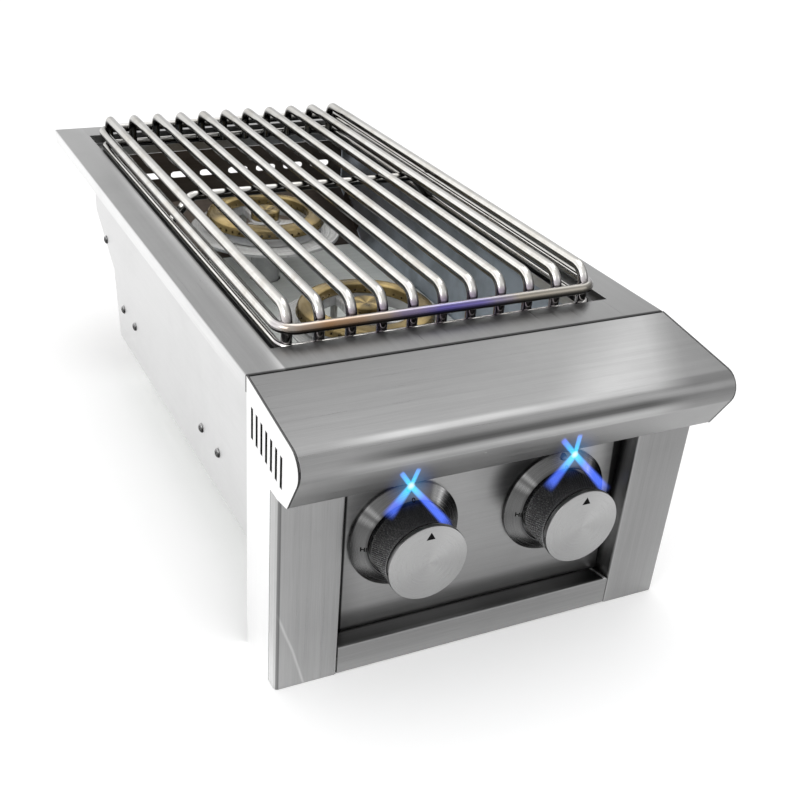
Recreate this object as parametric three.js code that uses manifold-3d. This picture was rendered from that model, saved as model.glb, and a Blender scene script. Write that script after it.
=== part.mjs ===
// Built-in gas side burner with two burners, a rod grate and a front control panel.
// Millimetres, +Z up, +Y towards the back. The origin lies at mid width, on the worktop's
// top face, in the plane of the cabinet front.
import * as THREE from 'three';
import { mergeVertices } from 'three/addons/utils/BufferGeometryUtils.js';
import Module from 'manifold-3d';

const wasm = await Module();
wasm.setup();

// Sheet metal and the gaps between pieces
const sheet = 1.2;
const seam = 0.3;
const foldRadius = 1.8;
const overrun = 3;

// Top frame: a flange on the worktop round a stepped well for the grate
const unitWidth = 330;
const flangeDepth = 579.4;
const flangeHeight = 12.5;
const flangeReturn = 14;
const sideStrip = 28.7;
const frontStrip = 32;
const backStrip = 29.8;
const wellDrop = 8.3;
const wellLip = 8.3;
const sideLedge = 15;
const frontLedge = 12;

// Box under the flange
const flangeOverhang = 26;
const backWallInset = 17.6;
const backBendDepth = 57.8;
const floorDepth = 99.5;
const backSlopeRun = 62;
const boxBelowBrackets = 33.4;
const backFootRun = 10.6;
const panelFlange = 12;
const ventCount = 8;
const ventPitchShare = 0.1159;
const ventLength = 22.5;
const ventHeight = 6.4;
const ventDepth = 28.5;

// Bullnose panel across the front
const noseSlope = 0.131;
const noseReach = 99.2;
const noseRadius = 14.3;
const noseLipY = -73.4;
const noseLipDepth = 44;
const noseRearFlange = 11;

// Front frame below the bullnose
const frameFaceY = -56.9;
const frameDepth = 210.1;
const stileShare = 0.1458;
const stileSideReturn = 12;
const stileFold = 3;
const stileTopDepth = 47.5;
const railHeight = 24.7;
const railFoot = 26;
const panelRecess = 17.6;
const panelFootGap = 1.6;
const panelOverlap = 12;
const capReturn = 16;
const slotCount = 7;
const slotPitch = 8.65;
const slotFirstY = -11;
const slotBelowSlope = 16.5;
const slotLength = 23;
const slotWidth = 2.6;

// Knobs, bezels and lights
const knobSpacingShare = 0.5346;
const knobDepth = 108.8;
const bezelRadius = 42.8;
const bezelHole = 31;
const bezelRim = 2.7;
const bezelRise = 9;
const bezelLip = 1;
const knobRadius = 29.6;
const knobCollar = 28.6;
const knobBackGap = 5;
const knobSkirt = 30;
const knobCollarLength = 5;
const knobGroove = 1.4;
const knobGrooveRadius = 28.2;
const capRadius = 30.1;
const capThickness = 4;
const capEdge = 0.8;
const knobPush = 3;
const lampRadius = 2.2;
const lampOffset = 39.6;
const lampStandOut = 3.2;
const lampLength = 14;

// Gas valves behind the panel
const stemRadius = 3.6;
const stemEngagement = 26;
const stemReach = 22;
const stemHoleRadius = 6;
const barrelRadius = 11;
const barrelLength = 14;
const barrelBoreRadius = 8.2;
const barrelBoreDepth = 8;
const seatRadius = 7.6;
const seatThickness = 1.5;
const seatSetback = 1;
const valveWidth = 22;
const valveLength = 20;
const valveHead = 11;
const outletDrop = 14;
const manifoldDrop = 41.2;
const manifoldRadius = 8;
const manifoldBore = 6.4;
const manifoldLeft = 26;
const manifoldEndWall = 4;
const orificeHex = 6.4;
const orificeHexLength = 5;
const orificeShoulder = 4.2;
const orificeTip = 2.8;
const orificeLength = 13.5;
const orificeBore = 1;

// Gas inlet elbow
const elbowBlock = 18;
const elbowSideGap = 6.7;
const elbowSpigot = 10;
const elbowLeg = 27;
const elbowLegRadius = 8;
const elbowBore = 4.8;
const elbowNutRadius = 10.4;
const elbowNutLength = 8;
const elbowNutDrop = 12;
const elbowHole = 12;

// Burners
const frontBurnerY = 168;
const rearBurnerInset = 127;
const plateDepth = 47.5;
const plateRadius = 74;
const plateHole = 44.5;
const plateFlat = 66.5;
const plateRim = 3;
const baseOuter = 56;
const baseInner = 43.2;
const baseHeight = 8.6;
const ribInner = 46;
const ribOuter = 54;
const ribHeight = 3.4;
const hubRadius = 15;
const hubHeight = 12;
const armWidth = 17;
const armHeight = 7;
const armStartShare = 0.9;
const hubRoof = 2.4;
const armCount = 3;
const armFirstAngle = 90;
const ringOuter = 58.5;
const ringTopOuter = 56.2;
const ringInner = 41.5;
const ringSide = 6.6;
const ringCrown = 2.3;
const ringEdge = 1.2;
const ringGrooveDepth = 4.2;
const ringGrooveGap = 0.6;
const capHeight = 9.4;
const capRadiusBrass = 14.2;
const capSkirt = 2.4;
const capChamfer = 1.2;
const hubSpigot = 9.6;
const tubeRadius = 12;
const tubeWall = 1.2;
const tubeMouthY = 4;
const tubeBend = 25;
const tubeElbow = 16;
const riserTop = 7.5;
const neckWall = 2;
const neckFit = 0.4;
const neckBelowFloor = 6;
const neckHoleGap = 1.5;
const bracketWidth = 60;
const bracketFlange = 12;
const frontBracketShift = -5.7;
const rearBracketShift = 11.3;
const electrodeRadius = 3.2;
const electrodeOffset = 64;
const electrodeBelow = 26;
const electrodeAbove = 3.6;
const electrodeTip = 1;
const electrodeTipLength = 5.6;
const electrodeCollar = 5;
const electrodeCollarLength = 2.4;

// Spark module
const moduleWidth = 44;
const moduleLength = 28;
const moduleHeight = 20;
const moduleSideGap = 9;
const moduleY = 2;
const moduleStud = 2.4;
const moduleStudLength = 5;
const moduleStudInset = 9;

// Screws in the side panels
const screwHead = 4.2;
const screwHeadHeight = 2.3;
const screwCrownShare = 0.55;
const screwShank = 2;
const screwLength = 8;
const screwHoleGap = 0.4;
const screwPitch = 43;
const screwAboveWeb = 5.8;
const backScrewRun = 38;
const backScrewInset = 5.2;

// Grate of bent rods
const barRadius = 4;
const barCount = 11;
const barInset = 16.05;
const barRise = 21.5;
const barBend = 12;
const rimRadius = 4;
const rimRise = 9;
const rimCorner = 14;
const footRadius = 3;
const footCorner = 12;
const weldSink = 1;
const grateFrontGap = 4.5;
const grateBackGap = 11.6;
const crossShare = 0.5294;
const crossBend = 9;
const crossLegRun = 17;
const gratePlay = seam;

// Facets
const bendSteps = 2;
const noseSteps = 8;
const rodSides = 8;
const rodBendSteps = 3;
const roundSides = 36;
const smallSides = 12;
const tubeSides = 10;
const holeSides = 8;
const nutSides = 6;
const slotSteps = 3;

// Levels and faces worked out from the sizes above
const halfWidth = unitWidth / 2;
const topZ = flangeHeight;
const ledgeZ = topZ - wellDrop;
const lipZ = ledgeZ - wellLip;
const wellHalf = halfWidth - sideStrip;
const wellFrontY = frontStrip;
const wellBackY = flangeDepth - backStrip;
const backWallY = wellBackY - backWallInset;
const lowerBackY = backWallY - backSlopeRun;
const boxFootY = lowerBackY - backFootRun;
const rearBurnerY = backWallY - rearBurnerInset;
const frontBracketY = frontBurnerY + frontBracketShift;
const rearBracketY = rearBurnerY + rearBracketShift;
const backScrewY = backWallY - backScrewRun;
const boxHalf = halfWidth - flangeOverhang;
const liningHalf = boxHalf - sheet - seam;
const floorZ = -floorDepth;
const frameZ = -frameDepth;
const stileWidth = unitWidth * stileShare;
const knobSpacing = (unitWidth - 2 * stileWidth) * knobSpacingShare;
const panelFaceY = frameFaceY + panelRecess;
const panelBackY = panelFaceY + sheet;
const boxFrontY = panelBackY + seam;
const knobZ = -knobDepth;
const plateZ = -plateDepth;
const railTopZ = frameZ + railHeight;
const outletZ = knobZ - outletDrop;
const manifoldZ = knobZ - manifoldDrop;
const valveFrontY = panelBackY + seam + barrelLength;
const valveBackY = valveFrontY + valveLength;
const manifoldY = valveFrontY + valveLength / 2;
const webZ = outletZ - tubeRadius - seam;
const boxZ = webZ - boxBelowBrackets;
const barPitch = 2 * (wellHalf - barInset) / (barCount - 1);
const baseZ = plateZ + seam;
const seatZ = baseZ + baseHeight;
const barZ = topZ + barRise;
const rimZ = topZ + rimRise;
const footZ = ledgeZ + gratePlay + footRadius;

// Colours and finishes
const finishes = {
  brushedSteel: { color: 0xb4b5b6, roughness: 0.36, metalness: 1 },
  polishedSteel: { color: 0xd2cfc8, roughness: 0.14, metalness: 1 },
  paleSteel: { color: 0xdadbdc, roughness: 0.42, metalness: 0.9 },
  boxSteel: { color: 0x8d8f92, roughness: 0.4, metalness: 1 },
  castBase: { color: 0xcfd0d0, roughness: 0.2, metalness: 1 },
  brass: { color: 0xc7a04a, roughness: 0.24, metalness: 1 },
  blackKnurl: { color: 0x1c1c1d, roughness: 0.5, metalness: 0.4 },
  knobFace: { color: 0xbdbebe, roughness: 0.34, metalness: 1 },
  blueLens: { color: 0x49b6ff, roughness: 0.1, metalness: 0 },
  ceramic: { color: 0xece8de, roughness: 0.5, metalness: 0 },
  blackPlastic: { color: 0x232426, roughness: 0.6, metalness: 0 },
  zincScrew: { color: 0xa8aaac, roughness: 0.3, metalness: 1 },
};

const sideBurner = new THREE.Group();

// Geometry helpers

function facingOut(geometry) {
  const position = geometry.attributes.position;
  const index = geometry.index.array;
  const a = new THREE.Vector3();
  const b = new THREE.Vector3();
  const c = new THREE.Vector3();
  let volume = 0;
  for (let i = 0; i < index.length; i += 3) {
    a.fromBufferAttribute(position, index[i]);
    b.fromBufferAttribute(position, index[i + 1]);
    c.fromBufferAttribute(position, index[i + 2]);
    volume += a.dot(b.cross(c));
  }
  if (volume < 0) {
    for (let i = 0; i < index.length; i += 3) {
      const kept = index[i];
      index[i] = index[i + 1];
      index[i + 1] = kept;
    }
  }
  return geometry;
}

function toSolid(geometry) {
  const bare = geometry.clone();
  bare.deleteAttribute('normal');
  bare.deleteAttribute('uv');
  const merged = facingOut(mergeVertices(bare));
  return new wasm.Manifold(new wasm.Mesh({
    numProp: 3,
    vertProperties: new Float32Array(merged.attributes.position.array),
    triVerts: new Uint32Array(merged.index.array),
  }));
}

function toGeometry(solid) {
  const mesh = solid.getMesh();
  const geometry = new THREE.BufferGeometry();
  geometry.setAttribute('position', new THREE.BufferAttribute(new Float32Array(mesh.vertProperties), 3));
  geometry.setIndex(new THREE.BufferAttribute(new Uint32Array(mesh.triVerts), 1));
  geometry.computeVertexNormals();
  return geometry;
}

function place(name, solid, finish) {
  const mesh = new THREE.Mesh(toGeometry(solid), new THREE.MeshStandardMaterial(finishes[finish]));
  mesh.name = name;
  sideBurner.add(mesh);
}

function joined(solids) {
  return solids.reduce((whole, solid) => whole.add(solid));
}

function cutBy(solid, cutters) {
  return cutters.reduce((left, cutter) => left.subtract(cutter), solid);
}

function block(x, y, z) {
  const geometry = new THREE.BoxGeometry(x[1] - x[0], y[1] - y[0], z[1] - z[0]);
  geometry.translate((x[0] + x[1]) / 2, (y[0] + y[1]) / 2, (z[0] + z[1]) / 2);
  return toSolid(geometry);
}

// An outline in YZ, XZ or XY is extruded along the remaining axis
const bases = {
  x: [new THREE.Vector3(0, 1, 0), new THREE.Vector3(0, 0, 1), new THREE.Vector3(1, 0, 0)],
  y: [new THREE.Vector3(1, 0, 0), new THREE.Vector3(0, 0, 1), new THREE.Vector3(0, -1, 0)],
  z: [new THREE.Vector3(1, 0, 0), new THREE.Vector3(0, 1, 0), new THREE.Vector3(0, 0, 1)],
};

function prism(outline, axis, from, to, holes = []) {
  const shape = new THREE.Shape(outline);
  for (const hole of holes) {
    shape.holes.push(new THREE.Path(hole));
  }
  const geometry = new THREE.ExtrudeGeometry(shape, { depth: to - from, bevelEnabled: false });
  geometry.applyMatrix4(new THREE.Matrix4().makeBasis(...bases[axis]));
  const start = axis === 'y' ? to : from;
  const shift = bases[axis][2].clone().multiplyScalar(axis === 'y' ? -start : start);
  geometry.translate(shift.x, shift.y, shift.z);
  return toSolid(geometry);
}

// Profile points are (radius, height); the axis runs along X, Y or Z through the centre
function turned(profile, axis, centre, sides = roundSides) {
  const points = profile.map(([radius, height]) => new THREE.Vector2(radius, height));
  const geometry = new THREE.LatheGeometry(points, sides);
  if (axis === 'z') {
    geometry.rotateX(Math.PI / 2);
  }
  if (axis === 'x') {
    geometry.rotateZ(-Math.PI / 2);
  }
  geometry.translate(centre[0], centre[1], centre[2]);
  return toSolid(geometry);
}

function rod(radius, from, to) {
  return [[0, from], [radius, from], [radius, to], [0, to]];
}

function closed(profile) {
  return [...profile, profile[0]];
}

// A path of straight runs with rounded corners, as stations of point and direction
function filleted(points, radii, steps) {
  const stations = [];
  const last = points.length - 1;
  const heading = (i) => points[i + 1].clone().sub(points[i]).normalize();
  stations.push({ point: points[0], direction: heading(0) });
  for (let i = 1; i < last; i += 1) {
    const before = heading(i - 1);
    const after = heading(i);
    const angle = before.angleTo(after);
    const radius = Array.isArray(radii) ? radii[i - 1] : radii;
    const arcs = Array.isArray(steps) ? steps[i - 1] : steps;
    const start = points[i].clone().addScaledVector(before, -radius * Math.tan(angle / 2));
    const inward = after.clone().addScaledVector(before, -before.dot(after)).normalize();
    const centre = start.clone().addScaledVector(inward, radius);
    for (let k = 0; k <= arcs; k += 1) {
      const turn = angle * k / arcs;
      const point = centre.clone().addScaledVector(inward, -radius * Math.cos(turn));
      point.addScaledVector(before, radius * Math.sin(turn));
      const direction = before.clone().multiplyScalar(Math.cos(turn));
      direction.addScaledVector(inward, Math.sin(turn));
      stations.push({ point, direction });
    }
  }
  stations.push({ point: points[last], direction: heading(last - 1) });
  return stations;
}

class StationCurve extends THREE.Curve {
  constructor(stations) {
    super();
    this.stations = stations;
  }

  getPoint(t) {
    return this.stations[Math.round(t * (this.stations.length - 1))].point.clone();
  }

  getTangent(t) {
    return this.stations[Math.round(t * (this.stations.length - 1))].direction.clone();
  }

  getPointAt(u) {
    return this.getPoint(u);
  }

  getTangentAt(u) {
    return this.getTangent(u);
  }
}

function ringOfPoints(radius, sides) {
  return Array.from({ length: sides }, (_, i) => {
    const angle = 2 * Math.PI * (i + 1 / 2) / sides;
    return new THREE.Vector2(radius * Math.cos(angle), radius * Math.sin(angle));
  });
}

function tube(stations, radius, sides, bore = 0) {
  const shape = new THREE.Shape(ringOfPoints(radius, sides));
  if (bore > 0) {
    shape.holes.push(new THREE.Path(ringOfPoints(bore, sides)));
  }
  const extrudePath = new StationCurve(stations);
  return toSolid(new THREE.ExtrudeGeometry(shape, { steps: stations.length - 1, extrudePath }));
}

// Sheet bent along a path: the path is its outer face, and the metal lies on the given side
function foldedOutline(corners, radii, side, steps = bendSteps) {
  const stations = filleted(corners.map(([u, v]) => new THREE.Vector3(u, v, 0)), radii, steps);
  const outer = stations.map(({ point }) => new THREE.Vector2(point.x, point.y));
  const inner = stations.map(({ point, direction }) => new THREE.Vector2(
    point.x - side * sheet * direction.y,
    point.y + side * sheet * direction.x,
  ));
  return [...outer, ...inner.reverse()];
}

function stadium(u, v, length, width, upright) {
  const half = (length - width) / 2;
  const points = [];
  for (const end of [1, -1]) {
    for (let k = 0; k <= slotSteps; k += 1) {
      const angle = Math.PI * (k / slotSteps - 1 / 2);
      const along = end * (half + width / 2 * Math.cos(angle));
      const across = end * width / 2 * Math.sin(angle);
      points.push(upright ? new THREE.Vector2(u - across, v + along) : new THREE.Vector2(u + along, v + across));
    }
  }
  return points;
}

function vectors(pairs) {
  return pairs.map(([u, v]) => new THREE.Vector2(u, v));
}

// Top frame

function topFrame() {
  const startY = seam;
  const shell = block([-halfWidth, halfWidth], [startY, flangeDepth], [0, topZ]);
  const inside = block(
    [-halfWidth + sheet, halfWidth - sheet],
    [startY + sheet, flangeDepth - sheet],
    [sheet, topZ - sheet],
  );
  const underside = block(
    [-halfWidth + flangeReturn, halfWidth - flangeReturn],
    [startY + sheet, flangeDepth - flangeReturn],
    [-overrun, sheet + overrun],
  );
  const opening = block([-wellHalf, wellHalf], [wellFrontY, wellBackY], [-overrun, topZ + overrun]);
  const flange = cutBy(shell, [inside, underside, opening]);
  const innerHalf = wellHalf - sideLedge;
  const innerFront = wellFrontY + frontLedge;
  const innerBack = backWallY - sheet;
  const upper = frameTube([wellHalf, wellFrontY, wellBackY], sheet, [ledgeZ - sheet, topZ - sheet]);
  const ledge = block(
    [-wellHalf - sheet, wellHalf + sheet],
    [wellFrontY - sheet, wellBackY + sheet],
    [ledgeZ - sheet, ledgeZ],
  );
  const throat = block([-innerHalf, innerHalf], [innerFront, innerBack], [lipZ - overrun, ledgeZ + overrun]);
  const lower = frameTube([innerHalf, innerFront, innerBack], sheet, [lipZ, ledgeZ - sheet]);
  place('top_frame', joined([flange, upper, cutBy(ledge, [throat]), lower]), 'brushedSteel');
}

// Four upright walls round a rectangular hole, with the metal outside the hole
function frameTube([half, frontY, backY], wall, z) {
  const outside = block([-half - wall, half + wall], [frontY - wall, backY + wall], z);
  const inside = block([-half, half], [frontY, backY], [z[0] - overrun, z[1] + overrun]);
  return outside.subtract(inside);
}

// Box

function screwPlaces() {
  const webScrews = [frontBracketY, rearBracketY].flatMap((y) => (
    [y - screwPitch / 2, y + screwPitch / 2].map((screwY) => [screwY, webZ - sheet + screwAboveWeb])
  ));
  const slopeRise = (floorDepth - backBendDepth) / (backWallY - lowerBackY);
  const slopeZ = -backBendDepth - (backWallY - backScrewY) * slopeRise;
  return [...webScrews, [backScrewY, slopeZ + backScrewInset * Math.hypot(1, slopeRise)]];
}

function sidePanel(side) {
  const underFrameZ = topZ - sheet - seam;
  const underNoseZ = -seam;
  const notchY = seam + sheet + seam;
  const outline = vectors([
    [boxFrontY, boxZ],
    [boxFootY, boxZ],
    [lowerBackY, floorZ],
    [backWallY, -backBendDepth],
    [backWallY, lipZ - seam],
    [wellBackY, lipZ - seam],
    [wellBackY, underFrameZ],
    [notchY, underFrameZ],
    [notchY, underNoseZ],
    [boxFrontY, underNoseZ],
  ]);
  const holes = screwPlaces().map(([y, z]) => (
    ringOfPoints(screwShank + screwHoleGap, holeSides).map((p) => p.add(new THREE.Vector2(y, z)))
  ));
  const outer = side * boxHalf;
  const inner = side * (boxHalf - sheet);
  const wall = prism(outline, 'x', Math.min(outer, inner), Math.max(outer, inner), holes);
  const flangeX = [inner, side * (boxHalf - panelFlange)].sort((a, b) => a - b);
  const overlapX = side > 0 ? [flangeX[0], outer] : [outer, flangeX[1]];
  const flange = block(overlapX, [boxFrontY, boxFrontY + sheet], [boxZ + sheet + seam, underNoseZ - panelFlange * 2]);
  place(side < 0 ? 'left_side_panel' : 'right_side_panel', wall.add(flange), 'paleSteel');
}

function backPanel() {
  const corners = [
    [backWallY, lipZ - seam],
    [backWallY, -backBendDepth],
    [lowerBackY, floorZ],
    [boxFootY, boxZ],
  ];
  const strip = prism(foldedOutline(corners, foldRadius, -1), 'x', -liningHalf, liningHalf);
  const ventPitch = 2 * wellHalf * ventPitchShare;
  const first = -(ventCount - 1) / 2 * ventPitch;
  const vents = Array.from({ length: ventCount }, (_, i) => prism(
    stadium(first + i * ventPitch, -ventDepth, ventLength, ventHeight, false),
    'y',
    backWallY - sheet - overrun,
    backWallY + overrun,
  ));
  const slope = new THREE.Vector2(backWallY - lowerBackY, floorDepth - backBendDepth).normalize();
  const inset = (y, z, depth) => [y - slope.y * depth, z + slope.x * depth];
  const topEnd = [backWallY - panelFlange, -backBendDepth - panelFlange * slope.y / slope.x];
  const lowEnd = [lowerBackY + panelFlange, floorZ + panelFlange * slope.y / slope.x];
  const skin = sheet / 2;
  const tab = vectors([
    inset(...lowEnd, skin),
    inset(...topEnd, skin),
    inset(...topEnd, panelFlange),
    inset(...lowEnd, panelFlange),
  ]);
  const screw = screwPlaces().at(-1);
  const hole = ringOfPoints(screwShank + screwHoleGap, holeSides);
  hole.forEach((p) => p.add(new THREE.Vector2(...screw)));
  const tabs = [-1, 1].map((side) => {
    const x = [side * liningHalf, side * (liningHalf - sheet)].sort((a, b) => a - b);
    return prism(tab, 'x', x[0], x[1], [hole]);
  });
  place('back_panel', joined([cutBy(strip, vents), ...tabs]), 'boxSteel');
}

function channel(halfSpan, webTop, flangeHeightUp, y, side) {
  const corners = [
    [-halfSpan, webTop + side * flangeHeightUp],
    [-halfSpan, webTop - side * sheet],
    [halfSpan, webTop - side * sheet],
    [halfSpan, webTop + side * flangeHeightUp],
  ];
  return prism(foldedOutline(corners, foldRadius, side), 'y', y[0], y[1]);
}

function firebox() {
  const neckHole = tubeRadius + neckFit + neckWall + neckHoleGap;
  const lowerLean = (lowerBackY - boxFootY) / (floorZ - boxZ);
  const floorBackY = lowerBackY - sheet - seam * 2 - panelFlange * lowerLean;
  const floorCorners = [
    [-liningHalf, floorZ - panelFlange],
    [-liningHalf, floorZ],
    [liningHalf, floorZ],
    [liningHalf, floorZ - panelFlange],
  ];
  const pan = prism(foldedOutline(floorCorners, foldRadius, -1), 'y', wellFrontY - sheet, floorBackY);
  const necks = [frontBurnerY, rearBurnerY].map((y) => (
    turned(rod(neckHole, -overrun - sheet, overrun), 'z', [0, y, floorZ], smallSides)
  ));
  place('firebox_floor', cutBy(pan, necks), 'boxSteel');
  const baffleX = [-liningHalf, liningHalf];
  const upright = block(baffleX, [wellFrontY - sheet, wellFrontY], [floorZ + seam, ledgeZ - sheet - seam]);
  const foot = block(
    [-liningHalf + panelFlange, liningHalf - panelFlange],
    [wellFrontY - sheet, wellFrontY + panelFlange],
    [floorZ + seam, floorZ + seam + sheet],
  );
  place('front_baffle', upright.add(foot), 'boxSteel');
  const bottom = channel(liningHalf, boxZ + sheet, panelFlange, [boxFrontY + sheet + seam, boxFootY - sheet - seam * 2], 1);
  const inletHole = turned(rod(elbowHole, -overrun, overrun), 'z', [elbowX(), manifoldY, boxZ], smallSides);
  place('bottom_panel', bottom.subtract(inletHole), 'boxSteel');
}

// Front

function noseProfile() {
  const cornerZ = topZ - noseSlope * noseReach;
  return {
    rear: -seam,
    corner: [-noseReach, cornerZ],
    lip: [noseLipY, -noseLipDepth],
  };
}

function bullnosePanel() {
  const { rear, corner, lip } = noseProfile();
  const corners = [
    [rear, topZ - noseRearFlange],
    [rear, topZ],
    corner,
    lip,
    [panelBackY, -noseLipDepth],
  ];
  const radii = [foldRadius, noseRadius, foldRadius];
  const outline = foldedOutline(corners, radii, 1, [bendSteps, noseSteps, bendSteps]);
  const half = halfWidth - sheet - seam;
  place('bullnose_panel', prism(outline, 'x', -half, half), 'brushedSteel');
}

function endCap(side) {
  const { corner, lip } = noseProfile();
  const path = filleted([
    new THREE.Vector3(0, topZ, 0),
    new THREE.Vector3(corner[0], corner[1], 0),
    new THREE.Vector3(lip[0], lip[1], 0),
  ], noseRadius, noseSteps);
  const frontY = frameFaceY + stileSideReturn + seam;
  const capFootZ = -stileTopDepth + seam;
  const outline = [
    ...path.map(({ point }) => new THREE.Vector2(point.x, point.y)),
    ...vectors([[frameFaceY, capFootZ], [frontY, capFootZ], [frontY, frameZ], [-sheet / 2, frameZ]]),
  ];
  outline[0].x = -sheet / 2;
  const slots = Array.from({ length: slotCount }, (_, i) => {
    const y = slotFirstY - i * slotPitch;
    const z = topZ + noseSlope * y - slotBelowSlope - slotLength / 2;
    return stadium(y, z, slotLength, slotWidth, true);
  });
  const outer = side * halfWidth;
  const inner = side * (halfWidth - sheet);
  const wall = prism(outline, 'x', Math.min(outer, inner), Math.max(outer, inner), slots);
  const middle = side * (halfWidth - sheet / 2);
  const reach = side * (halfWidth - capReturn);
  const flange = block([Math.min(middle, reach), Math.max(middle, reach)], [-sheet, 0], [frameZ + seam, -sheet]);
  place(side < 0 ? 'left_end_cap' : 'right_end_cap', wall.add(flange), 'paleSteel');
}

function stile(side) {
  const inner = side * (halfWidth - stileWidth);
  const outer = side * halfWidth;
  const corners = [
    [inner, panelFaceY - seam],
    [inner, frameFaceY],
    [outer, frameFaceY],
    [outer, frameFaceY + stileSideReturn],
  ];
  const outline = foldedOutline(corners, [foldRadius, stileFold], side);
  place(side < 0 ? 'left_stile' : 'right_stile', prism(outline, 'z', frameZ, -stileTopDepth), 'brushedSteel');
}

function bottomRail() {
  const corners = [
    [panelFaceY - panelFootGap, railTopZ],
    [frameFaceY, railTopZ],
    [frameFaceY, frameZ],
    [frameFaceY + railFoot, frameZ],
  ];
  const half = halfWidth - stileWidth - seam;
  place('bottom_rail', prism(foldedOutline(corners, foldRadius, 1), 'x', -half, half), 'brushedSteel');
}

function controlPanel() {
  const half = halfWidth - sheet - seam;
  const corners = [
    [-half, panelFaceY + panelFlange],
    [-half, panelFaceY],
    [half, panelFaceY],
    [half, panelFaceY + panelFlange],
  ];
  const topEdge = -noseLipDepth - seam;
  const skin = prism(foldedOutline(corners, foldRadius, 1), 'z', railTopZ - panelOverlap, topEdge);
  const holes = [-1, 1].flatMap((side) => {
    const x = side * knobSpacing / 2;
    return [
      turned(rod(stemHoleRadius, -overrun, overrun), 'y', [x, panelFaceY, knobZ], smallSides),
      turned(rod(lampRadius + seam, -overrun, overrun), 'y', [x, panelFaceY, knobZ + lampOffset], smallSides),
    ];
  });
  place('control_panel', cutBy(skin, holes), 'brushedSteel');
}

// Knobs

function knobSet(side) {
  const name = side < 0 ? 'left' : 'right';
  const x = side * knobSpacing / 2;
  const axis = [x, 0, knobZ];
  const bezelBack = panelFaceY - seam;
  const bezel = turned(closed([
    [bezelRadius, bezelBack],
    [bezelRadius, bezelBack - bezelRim],
    [bezelHole + bezelLip, bezelBack - bezelRise],
    [bezelHole, bezelBack - bezelRise],
    [bezelHole, bezelBack],
  ]), 'y', axis);
  const lampAxis = [x, 0, knobZ + lampOffset];
  const lampHole = rod(lampRadius + seam, bezelBack - bezelRise - overrun, bezelBack + overrun);
  place(`${name}_bezel`, bezel.subtract(turned(lampHole, 'y', lampAxis, smallSides)), 'polishedSteel');

  const coneShare = (bezelRadius - lampOffset) / (bezelRadius - bezelHole - bezelLip);
  const coneY = bezelBack - bezelRim - coneShare * (bezelRise - bezelRim);
  const lampFront = coneY - lampStandOut;
  const dome = Array.from({ length: slotSteps }, (_, k) => {
    const angle = Math.PI / 2 * k / slotSteps;
    return [lampRadius * Math.sin(angle), lampFront + lampRadius * (1 - Math.cos(angle))];
  });
  const lampBack = lampFront + lampLength;
  const lamp = turned([...dome, [lampRadius, lampFront + lampRadius], [lampRadius, lampBack], [0, lampBack]],
    'y', lampAxis, smallSides);
  place(`${name}_lamp`, lamp, 'blueLens');

  const back = panelFaceY - knobBackGap;
  const front = back - knobSkirt;
  const boreEnd = back - stemEngagement - seam;
  const shell = turned([
    [stemRadius + seam, back],
    [knobCollar, back],
    [knobCollar, back - knobCollarLength],
    [knobRadius, back - knobCollarLength],
    [knobRadius, front + knobGroove],
    [knobGrooveRadius, front + knobGroove],
    [knobGrooveRadius, front],
    [0, front],
    [0, boreEnd],
    [stemRadius + seam, boreEnd],
    [stemRadius + seam, back],
  ], 'y', axis);
  place(`${name}_knob_body`, shell, 'blackKnurl');

  const capBack = front - seam;
  const cap = turned([
    [0, capBack],
    [capRadius, capBack],
    [capRadius, capBack - capThickness + capEdge],
    [capRadius - capEdge, capBack - capThickness],
    [0, capBack - capThickness],
  ], 'y', axis);
  place(`${name}_knob_cap`, cap, 'knobFace');

  const stemBack = panelBackY + stemReach;
  place(`${name}_valve_stem`, turned(rod(stemRadius, back - stemEngagement, stemBack), 'y', axis, smallSides),
    'zincScrew');

  const seatFront = panelBackY + seam + seatSetback;
  const seat = turned(closed([
    [stemRadius + seam, seatFront],
    [seatRadius, seatFront],
    [seatRadius, seatFront + seatThickness],
    [stemRadius + seam, seatFront + seatThickness],
  ]), 'y', axis, smallSides);
  place(`${name}_spring_seat`, seat, 'zincScrew');
}

// Gas valves, manifold and inlet

function valve(side) {
  const name = side < 0 ? 'left' : 'right';
  const x = side * knobSpacing / 2;
  const axis = [x, 0, knobZ];
  const barrelFront = panelBackY + seam;
  const barrel = turned(rod(barrelRadius, barrelFront, valveFrontY + overrun), 'y', axis, smallSides);
  const body = block(
    [x - valveWidth / 2, x + valveWidth / 2],
    [valveFrontY, valveBackY],
    [manifoldZ, knobZ + valveHead],
  );
  const stemBore = rod(stemRadius + seam, barrelFront - overrun, panelBackY + stemReach + knobPush + seam);
  const seatBore = rod(barrelBoreRadius, barrelFront - overrun, barrelFront + barrelBoreDepth);
  const pipeSeat = turned(rod(manifoldRadius + seam, -valveWidth, valveWidth), 'x', [x, manifoldY, manifoldZ], smallSides);
  place(`${name}_valve_body`, cutBy(barrel.add(body), [
    turned(stemBore, 'y', axis, smallSides),
    turned(seatBore, 'y', axis, smallSides),
    pipeSeat,
  ]), 'brass');

  const start = valveBackY + seam;
  const orifice = turned(closed([
    [orificeBore, start],
    [orificeHex, start],
    [orificeHex, start + orificeHexLength],
    [orificeShoulder, start + orificeHexLength],
    [orificeTip, start + orificeLength],
    [orificeBore, start + orificeLength],
  ]), 'y', [x, 0, outletZ], holeSides);
  place(`${name}_orifice`, orifice, 'brass');
}

function manifoldEnd(side) {
  return side < 0 ? -knobSpacing / 2 - manifoldLeft : liningHalf - elbowSideGap - elbowBlock - seam;
}

function elbowX() {
  return manifoldEnd(1) + seam + elbowBlock / 2;
}

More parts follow.
